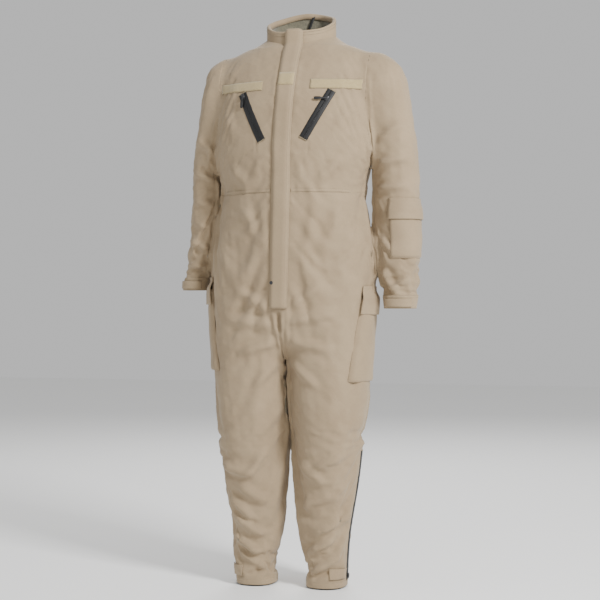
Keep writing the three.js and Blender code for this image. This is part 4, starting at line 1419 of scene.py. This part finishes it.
@dataclass
class Breast:
    """One side of the chest: the slanted zip with its puller, the loop strip above it and the pocket bag behind."""

    room: Workroom
    side: Side
    half: float = 12 * MM
    length: float = 152 * MM
    strip_in: float = 66 * MM
    strip_out: float = 192 * MM
    strip_top: float = -114 * MM
    strip_bottom: float = -140 * MM
    puller: float = 34 * MM
    pin_height: float = 5.5 * MM

    def track(self) -> Track:
        """The zip's line, from the slider's joints: its top lies rest back along the run, under the puller's pin."""
        name = f"{self.side.word}_breast"
        pin = joint_named(f"{name}_puller_swing")
        along, out = np.array(joint_named(f"{name}_zip_run")["axis"]), np.array(pin["axis"])
        start = np.array(pin["pos_m"]) - along * self.rest - out * self.pin_height
        return Track(tuple(start), tuple(along), tuple(out), self.length)

    @property
    def rest(self) -> float:
        """How far down its zip the slider stands."""
        return (11 if self.side is Side.RIGHT else 29) * MM

    def build(self) -> None:
        """Builds this side of the chest."""
        room, word, track = self.room, self.side.word, self.track()
        zip_on = Zip(room, f"{word}_breast_zip", track.place, self.half, self.length)
        slider = f"{word}_breast_slider", f"{word}_breast_zip_slider"
        top = zip_on.build(f"{word}_breast_zip_tape", np.array(track.along), self.rest, *slider)
        self.build_puller(track, top)
        self.build_strip()
        self.build_bag()

    def build_puller(self, track: Track, top: np.ndarray) -> None:
        """The cord loop and its moulded end, hanging off the slider."""
        along, out = np.array(track.along), np.array(track.out)
        across = np.cross(out, along)
        turn = -0.47 if self.side is Side.RIGHT else -1.06
        way = along * math.cos(turn) + across * math.sin(turn) * (1 if across[0] > 0 else -1)
        side = np.cross(out, way)
        s = np.linspace(0, 1, 18)
        widths = np.interp(s, [0, 0.08, 0.3, 0.42, 0.5, 0.92, 1], [2.0, 2.6, 2.2, 2.2, 3.6, 4.0, 2.6]) * MM
        thick = np.interp(s, [0, 0.42, 0.5, 0.92, 1], [1.0, 1.0, 1.7, 1.7, 1.0]) * MM
        angles = np.arange(12) * 2 * math.pi / 12
        rings = []
        for share, w, h in zip(s, widths, thick):
            centre = top + way * share * self.puller + out * (1.2 * MM + 1.0 * MM * math.sin(share * math.pi))
            rings.append([centre + side * w * math.cos(a) + out * h * math.sin(a) for a in angles])
        cord = lofted(f"{self.side.word}_puller_cord", np.array(rings))
        name = f"{self.side.word}_breast"
        self.room.ride(cord, "rubber", "puller_rubber", f"{name}_puller", f"{name}_zip_puller")

    def build_strip(self) -> None:
        """The loop tape strip over the zip, with its border stitching."""
        room, word, sign = self.room, self.side.word, self.side.value
        us = np.array(sorted(sign * np.linspace(self.strip_in, self.strip_out, 30)))
        vs = np.linspace(self.strip_top, self.strip_bottom, 7)
        base, facing = room.cloth.skin.laid(room.front, us, vs, 8)
        grid = base + facing * 1.5 * MM
        room.ride(
            sheet_mesh(f"{word}_loop_strip", grid, facing, 1.6 * MM),
            "loop",
            "loop_tape",
            "shell",
            f"{word}_breast_loop_strip",
        )
        lines = [(grid[k], facing[k]) for k in (0, -1)] + [(grid[:, k], facing[:, k]) for k in (0, -1)]
        room.ride(room.tied(f"{word}_strip_stitches", lines), "thread", "loop_tape", "shell")

    def build_bag(self) -> None:
        """The pocket bag behind the cloth, and the row that holds it."""
        room, word, sign = self.room, self.side.word, self.side.value
        us = np.array(sorted(sign * np.linspace(46 * MM, 148 * MM, 16)))
        vs = np.linspace(-133 * MM, -343 * MM, 24)
        base, facing = room.cloth.skin.laid(room.front, us, vs, 20)
        bag = sheet_mesh(f"{word}_pocket_bag", base - facing * 4.5 * MM, facing, 2.0 * MM)
        room.ride(bag, "backing", "pocket_lining", "shell", f"{word}_breast_pocket_bag")
        if self.side is Side.RIGHT:
            corners = [(-0.066, -0.290), (-0.108, -0.311), (-0.130, -0.341), (-0.150, -0.352)]
        else:
            corners = [(0.060, -0.288), (0.115, -0.326), (0.172, -0.368), (0.184, -0.352)]
        us = [x for x, _ in corners]
        lines = [room.laid_path(room.front, us, [z - shift for _, z in corners], 0.2 * MM) for shift in (0.0, 0.006)]
        room.rows(f"{word}_bag_stitches", lines, over=0)


@dataclass
class SideAndLegZips:
    """The zips in the side seams, at the waist and from knee to hem."""

    room: Workroom
    half: float = 11 * MM
    side_middle: float = -408 * MM
    side_length: float = 240 * MM
    leg_top: float = -1110 * MM
    leg_length: float = 352 * MM

    def side_place(self, side: Side) -> Callable:
        """Points u off the side seam and v down it, at the waist."""
        cloth = self.room.cloth

        def place(u: np.ndarray, v: np.ndarray) -> tuple[np.ndarray, np.ndarray]:
            """The form's points and normals at u and v."""
            z = self.side_middle + self.side_length / 2 - v
            y = FORM.side_seam_y * MM - side.value * u
            waist = FORM.waist_z * MM
            high, facing_high = cloth.torso.point(
                cloth.torso.angle_at_y(y, np.maximum(z, waist), side), np.maximum(z, waist)
            )
            low, facing_low = cloth.pelvis.point(
                cloth.pelvis.angle_at_y(y, np.minimum(z, waist), side), np.minimum(z, waist)
            )
            above = (z > waist)[..., None]
            point = np.where(above, high, low)
            point[..., 2] = z
            return point - np.where(above, facing_high, facing_low) * 12 * MM, np.where(above, facing_high, facing_low)

        return place

    def leg_place(self, side: Side) -> Callable:
        """Points u off the side seam and v down it, on the lower leg."""
        leg = self.room.cloth.legs[side]

        def place(u: np.ndarray, v: np.ndarray) -> tuple[np.ndarray, np.ndarray]:
            """The form's points and normals at u and v."""
            z = self.leg_top - v
            y = FORM.side_seam_y * MM - side.value * u
            return leg.point(leg.angle_at_y(y, z, side), z)

        return place

    def build(self) -> None:
        """Builds the four zips."""
        for side in Side:
            word = side.word
            waist = Zip(self.room, f"{word}_side_zip", self.side_place(side), self.half, self.side_length, 0.016)
            waist.build(
                f"{word}_side_zip_tape",
                np.array([0, 0, -1.0]),
                14 * MM,
                f"{word}_side_slider",
                f"{word}_side_zip_slider",
            )
            lower = Zip(self.room, f"{word}_leg_zip", self.leg_place(side), self.half, self.leg_length)
            lower.build(
                f"{word}_leg_zip_tape",
                np.array([0, 0, -1.0]),
                self.leg_length - 11 * MM,
                f"{word}_leg_slider",
                f"{word}_leg_zip_slider",
            )


# ---------------------------------------------------------------- pockets


class PatchPocket:
    """A pocket that stands off the cloth on folded sides, with a flap over its mouth."""

    def __init__(self, room: Workroom, name: str, place: Callable, corners: dict, depth: float) -> None:
        """Keeps where the pocket lies.

        Args:
            room: the workroom.
            name: the pocket's name.
            place: gives the form's point and normal for u from 0 to 1 across and z.
            corners: the heights of the flap's top and foot, and of the pocket's top and bottom.
            depth: how far the pocket stands off.
        """
        self.room, self.name, self.place, self.corners, self.depth = room, name, place, corners, depth

    def build_pocket(self, node: str) -> None:
        """Builds the pocket's cloth and its rows."""
        room, c = self.room, self.corners
        reach = self.depth + 8 * MM
        us = np.array([0, 0.004, 0.03, 0.07, 0.16, 0.28, 0.4, 0.5, 0.6, 0.72, 0.84, 0.93, 0.97, 0.996, 1])
        top, bottom = c["pocket_top"], c["pocket_bottom"]
        vs = np.concatenate([np.linspace(top, bottom + 12 * MM, 22), bottom + np.array([7, 3, 0.6, 0]) * MM])
        base, facing = room.cloth.skin.laid(self.place, us, vs, 12, reach)
        u, z = np.meshgrid(us, vs)
        edge = np.minimum(np.minimum(u, 1 - u) / 0.03, (z - bottom) / (3.5 * MM))
        full = self.depth * (0.34 + 0.3 * np.sin(math.pi * np.clip(u, 0, 1)) ** 0.7)
        soft = 1.1 * MM * ripple(base.reshape(-1, 3), 0.06, 21).reshape(u.shape)
        out = -0.6 * MM + (full + soft) * ease(edge / 1.05)
        grid = base + facing * out[..., None]
        pocket = sheet_mesh(f"{self.name}_cloth", grid, grid_normals(grid), 1.3 * MM)
        room.ride(pocket, "shell", "shell_cloth", "shell", node)
        outer = grid_normals(grid)
        lines = [(grid[:-3, k], outer[:-3, k]) for k in (3, 11)] + [(grid[-5, 3:12], outer[-5, 3:12])]
        room.rows(f"{self.name}_stitches", lines)

    def build_flap(self, node: str, joint: str) -> None:
        """Builds the flap along its top seam, set at its joint without bending."""
        room, c = self.room, self.corners
        us = np.linspace(-0.03, 1.03, 19)
        vs = np.linspace(c["flap_top"], c["flap_bottom"], 22)
        base, facing = room.cloth.skin.laid(self.place, us, vs, 12, self.depth + 8 * MM)
        u, z = np.meshgrid(us, vs)
        drop = c["flap_top"] - z
        over = self.depth * (0.34 + 0.3 * np.sin(math.pi * np.clip(u, 0, 1)) ** 0.7) + 2.6 * MM
        curl = 1.2 * MM * ripple(base.reshape(-1, 3), 0.08, 22).reshape(u.shape) * ease(drop / 0.05)
        out = 1.6 * MM + (over - 1.6 * MM) * ease((drop - 9 * MM) / (24 * MM)) + curl
        out = out - 1.0 * MM * ease(np.abs(u - 0.5) / 0.53 - 0.9)
        grid = base + facing * out[..., None]
        outer = grid_normals(grid)
        flap = sheet_mesh(f"{self.name}_flap", grid, outer, 2.0 * MM)
        room.sewn(flap, "shell", "shell_cloth", joint, 0.002, 0.012, node)
        lines = [(grid[-2, 1:-1], outer[-2, 1:-1])] + [(grid[4:-1, k], outer[4:-1, k]) for k in (1, -2)]
        room.rows(f"{self.name}_flap_stitches", lines, joint_named(joint)["child"])
        room.rows(f"{self.name}_flap_top_stitches", [(grid[k], outer[k]) for k in (1, 2)])


@dataclass
class CargoPockets:
    """The hip pockets, one on each leg."""

    room: Workroom
    tops: dict = field(default_factory=lambda: {Side.RIGHT: -638 * MM, Side.LEFT: -664 * MM})
    flap: float = 75 * MM
    mouth: float = 34 * MM
    height: float = 222 * MM
    depth: float = 16 * MM
    back_y: float = 82 * MM
    front_y: float = -58 * MM
    front_slope: float = 36 / 297

    def build(self) -> None:
        """Builds both pockets."""
        for side in Side:
            leg, top = self.room.cloth.legs[side], self.tops[side]

            def place(
                u: np.ndarray, z: np.ndarray, leg: Tube = leg, top: float = top, side: Side = side
            ) -> tuple[np.ndarray, np.ndarray]:
                """The form's points and normals at u and v."""
                first = self.front_y - self.front_slope * (top - z)
                share = u if side is Side.LEFT else 1 - u
                return leg.point(leg.angle_at_y(first + (self.back_y - first) * share, z, side), z)

            corners = {"flap_top": top, "flap_bottom": top - self.flap, "pocket_top": top - self.mouth}
            corners["pocket_bottom"] = top - self.mouth - self.height
            pocket = PatchPocket(self.room, f"{side.word}_hip_pocket", place, corners, self.depth)
            pocket.build_pocket(f"{side.word}_cargo_pocket")
            pocket.build_flap(f"{side.word}_cargo_flap", f"{side.word}_cargo_flap_lift")


@dataclass
class SleevePocket:
    """The pocket on the left upper arm."""

    room: Workroom
    top: float = -429 * MM
    flap: float = 57 * MM
    mouth: float = 30 * MM
    height: float = 130 * MM
    depth: float = 12 * MM
    first: float = -0.2
    last: float = 1.75

    def build(self) -> None:
        """Builds the pocket."""
        sleeve = self.room.cloth.sleeves[Side.LEFT]

        def place(u: np.ndarray, z: np.ndarray) -> tuple[np.ndarray, np.ndarray]:
            """The form's points and normals at u and v."""
            return sleeve.point(self.first + (self.last - self.first) * u, z)

        corners = {"flap_top": self.top, "flap_bottom": self.top - self.flap, "pocket_top": self.top - self.mouth}
        corners["pocket_bottom"] = self.top - self.mouth - self.height
        pocket = PatchPocket(self.room, "sleeve_pocket", place, corners, self.depth)
        pocket.build_pocket("left_sleeve_pocket")
        pocket.build_flap("left_sleeve_flap", "left_sleeve_flap_lift")


# ---------------------------------------------------------------- cuffs, hems and seams


@dataclass
class CuffsAndHems:
    """The cuff bands and the tabs that close the cuffs and the trouser hems."""

    room: Workroom
    cuff: float = 36 * MM
    wall: float = 2 * MM
    hem_z: float = FORM.hem_z * MM

    def tab(self, name: str, tube: Tube, side: Side, angles: Pair, heights: Pair, out: float, node: str) -> None:
        """A tab with its rows, set at its joint without peeling.

        Args:
            name: the tab's name.
            tube: the sleeve or leg that it lies on.
            side: the wearer's side.
            angles: where it starts and ends round the tube.
            heights: its lower and upper edge.
            out: how far its face stands off the cloth.
            node: the CAD node that it stands for.
        """
        room, joint = self.room, f"{node}_peel"
        us = np.array(sorted(side.value * np.linspace(*angles, 22)))
        vs = np.linspace(heights[1], heights[0], 9)
        base, facing = room.cloth.skin.laid(tube.point, us, vs, 8, 0.015)
        grid = base + facing * out
        outer = grid_normals(grid)
        bend = 0.001, 0.009
        flap = room.sewn(sheet_mesh(f"{name}_cloth", grid, outer, 1.9 * MM), "shell", "shell_cloth", joint, *bend, node)
        rows = room.tied(f"{name}_stitches", [(grid[k, 2:-2], outer[k, 2:-2]) for k in (1, -2)])
        bend_at(dressed(rows, room.finishes.of("thread")), joint, *bend, like=flap)

    def build(self) -> None:
        """Builds the cuffs, their tabs and the hem tabs."""
        room = self.room
        for side in Side:
            word, sleeve, leg = side.word, room.cloth.sleeves[side], room.cloth.legs[side]
            bottom = -FORM.arm_length(side)
            us = np.linspace(0, 2 * math.pi, 73)[:-1]
            vs = np.concatenate(
                [[bottom + self.cuff], np.linspace(bottom + self.cuff - MM, bottom + 1.5 * MM, 8), [bottom]]
            )
            base, facing = room.cloth.skin.laid(sleeve.point, us, vs, 6, 0.01)
            out = np.interp(
                vs, [bottom, bottom + 1.5 * MM, bottom + self.cuff - MM, bottom + self.cuff], [1.4, 2.2, 2.2, 1.0]
            ) * MM
            grid = base + facing * out[:, None, None]
            band = sheet_mesh(f"{word}_cuff_cloth", grid, facing, 1.9 * MM, ring=True)
            room.ride(band, "shell", "shell_cloth", "shell", f"{word}_cuff_band")
            closed = np.concatenate([grid, grid[:, :1]], axis=1)
            up = np.concatenate([facing, facing[:, :1]], axis=1)
            room.rows(f"{word}_cuff_stitches", [(closed[k], up[k]) for k in (1, 2, 8)])
            heights = bottom + 5 * MM, bottom + 26 * MM
            self.tab(f"{word}_wrist_tab", sleeve, side, (-0.75, 0.9), heights, 4.4 * MM, f"{word}_cuff_tab")
            heights = self.hem_z + 24 * MM, self.hem_z + 52 * MM
            self.tab(f"{word}_ankle_tab", leg, side, (0.35, 1.318), heights, 2.4 * MM, f"{word}_hem_tab")
            lines = [self.around(leg, self.hem_z + height * MM) for height in (16, 22)]
            room.rows(f"{word}_hem_stitches", lines, over=0)

    def around(self, tube: Tube, z: float) -> tuple[np.ndarray, np.ndarray]:
        """A ring on the cloth round a tube at height z, and its normals."""
        angles = np.linspace(0, 2 * math.pi, 90)
        base, facing = self.room.cloth.skin.laid(tube.point, angles, np.array([z, z - MM]), 0, 0.012)
        return base[0] + facing[0] * 0.2 * MM, facing[0]


@dataclass
class Seams:
    """The flat-felled seams: a raised welt with two rows of stitches beside it."""

    room: Workroom
    half: float = 4.5 * MM
    out: float = 0.9 * MM

    def welt(
        self,
        name: str,
        place: Callable,
        corners: Sequence[tuple[float, float]],
        across: tuple[float, float],
        reach: float = 0.03,
    ) -> None:
        """A welt along corners (u, v) of a place, widened along across."""
        room = self.room
        us, vs = np.array([c[0] for c in corners]), np.array([c[1] for c in corners])
        t = np.linspace(0, len(corners) - 1, 12 * (len(corners) - 1) + 1)
        u, v = np.interp(t, range(len(us)), us), np.interp(t, range(len(vs)), vs)
        shifts = np.array([-1, -0.8, 0.8, 1]) * self.half
        uu = u[:, None] + shifts[None, :] * across[0]
        vv = v[:, None] + shifts[None, :] * across[1]
        base, facing = place(uu, vv)
        depth = room.cloth.skin.depths(base, facing, reach)
        lift = np.array([-0.3, 1, 1, -0.3]) * self.out
        grid = base + facing * (depth + lift[None, :])[..., None]
        room.ride(sheet_mesh(f"{name}_welt", grid, facing, 0.8 * MM), "shell", "shell_cloth", "shell")
        room.rows(f"{name}_stitches", [(grid[:, k], facing[:, k]) for k in (1, 2)])

    def beside(self, side: Side, face: Side) -> Callable:
        """Gives points u off a leg's seam at height z, on the face of the leg that turns to one side."""
        leg = self.room.cloth.legs[side]

        def place(u: np.ndarray, z: np.ndarray) -> tuple[np.ndarray, np.ndarray]:
            """The form's points and normals at u and v."""
            return leg.point(leg.angle_at_y(FORM.side_seam_y * MM + u, z, face), z)

        return place

    def build(self) -> None:
        """Builds the waist and leg seams."""
        waist = FORM.waist_z * MM + 0.5 * MM
        inside = [(0.0, z * MM) for z in (-900, -1000, -1100, -1200, -1300, -1400, -1470)]
        outside = [(0.0, z * MM) for z in (-925, -980, -1040, -1100)]
        for side in Side:
            marks = [(side.value * x * MM, waist) for x in (27, 60, 90, 120, 150, 175)]
            self.welt(f"{side.word}_waist", self.room.front, marks, (0, 1))
            self.welt(f"{side.word}_inseam", self.beside(side, Side(-side.value)), inside, (1, 0), 0.008)
            self.welt(f"{side.word}_outseam", self.beside(side, side), outside, (1, 0))


# ---------------------------------------------------------------- stage


@dataclass(frozen=True)
class Stage:
    """The floor, the lights and the camera."""

    azimuth: float = math.radians(15.5)
    distance: float = 3.8
    height: float = -0.701
    lens: float = 82.9
    aside: float = 0.011

    def lamp(self, name: str, place: tuple[float, float, float], power: float, size: float) -> None:
        """A soft square light that looks at the suit's middle."""
        data = bpy.data.lights.new(name, "AREA")
        data.energy, data.size = power, size
        obj = bpy.data.objects.new(name, data)
        obj.location = place
        obj.rotation_euler = (Vector((0, 0, -0.7)) - Vector(place)).to_track_quat("-Z", "Y").to_euler()
        bpy.context.scene.collection.objects.link(obj)

    def build(self) -> None:
        """Sets the stage."""
        floor = mesh_object(
            "floor", np.array([(-9, -9, -1.482), (9, -9, -1.482), (9, 9, -1.482), (-9, 9, -1.482)]), [(0, 1, 2, 3)]
        )
        paper = bpy.data.materials.new("pale_paper")
        paper.use_nodes = True
        paper.node_tree.nodes["Principled BSDF"].inputs["Base Color"].default_value = linear("#f4f4f3")
        paper.node_tree.nodes["Principled BSDF"].inputs["Roughness"].default_value = 0.9
        floor.data.materials.append(paper)
        world = bpy.data.worlds.new("studio")
        bpy.context.scene.world = world
        world.use_nodes = True
        world.node_tree.nodes["Background"].inputs["Color"].default_value = (1, 1, 1, 1)
        world.node_tree.nodes["Background"].inputs["Strength"].default_value = 0.62
        self.lamp("key", (3.0, -2.1, 1.5), 260, 0.9)
        self.lamp("fill", (-3.4, -1.6, 0.2), 14, 2.0)
        self.lamp("rim", (-0.6, 3.2, 1.8), 90, 1.6)
        data = bpy.data.cameras.new("camera")
        data.lens = self.lens
        camera = bpy.data.objects.new("camera", data)
        a = self.azimuth
        camera.location = (
            math.sin(a) * self.distance + math.cos(a) * self.aside,
            -math.cos(a) * self.distance + math.sin(a) * self.aside,
            self.height,
        )
        camera.rotation_euler = (math.radians(90), 0, a)
        bpy.context.scene.collection.objects.link(camera)
        bpy.context.scene.camera = camera


def main() -> None:
    """Builds the coverall, piece by piece, and its stage."""
    cloth = Cloth()
    room = Workroom(cloth, Finishes())
    Collar(room).build()
    FrontClosure(room).build()
    for side in Side:
        Breast(room, side).build()
    SideAndLegZips(room).build()
    CargoPockets(room).build()
    SleevePocket(room).build()
    CuffsAndHems(room).build()
    Seams(room).build()
    Panels(room).build()
    Stage().build()


if __name__ == "__main__":
    main()
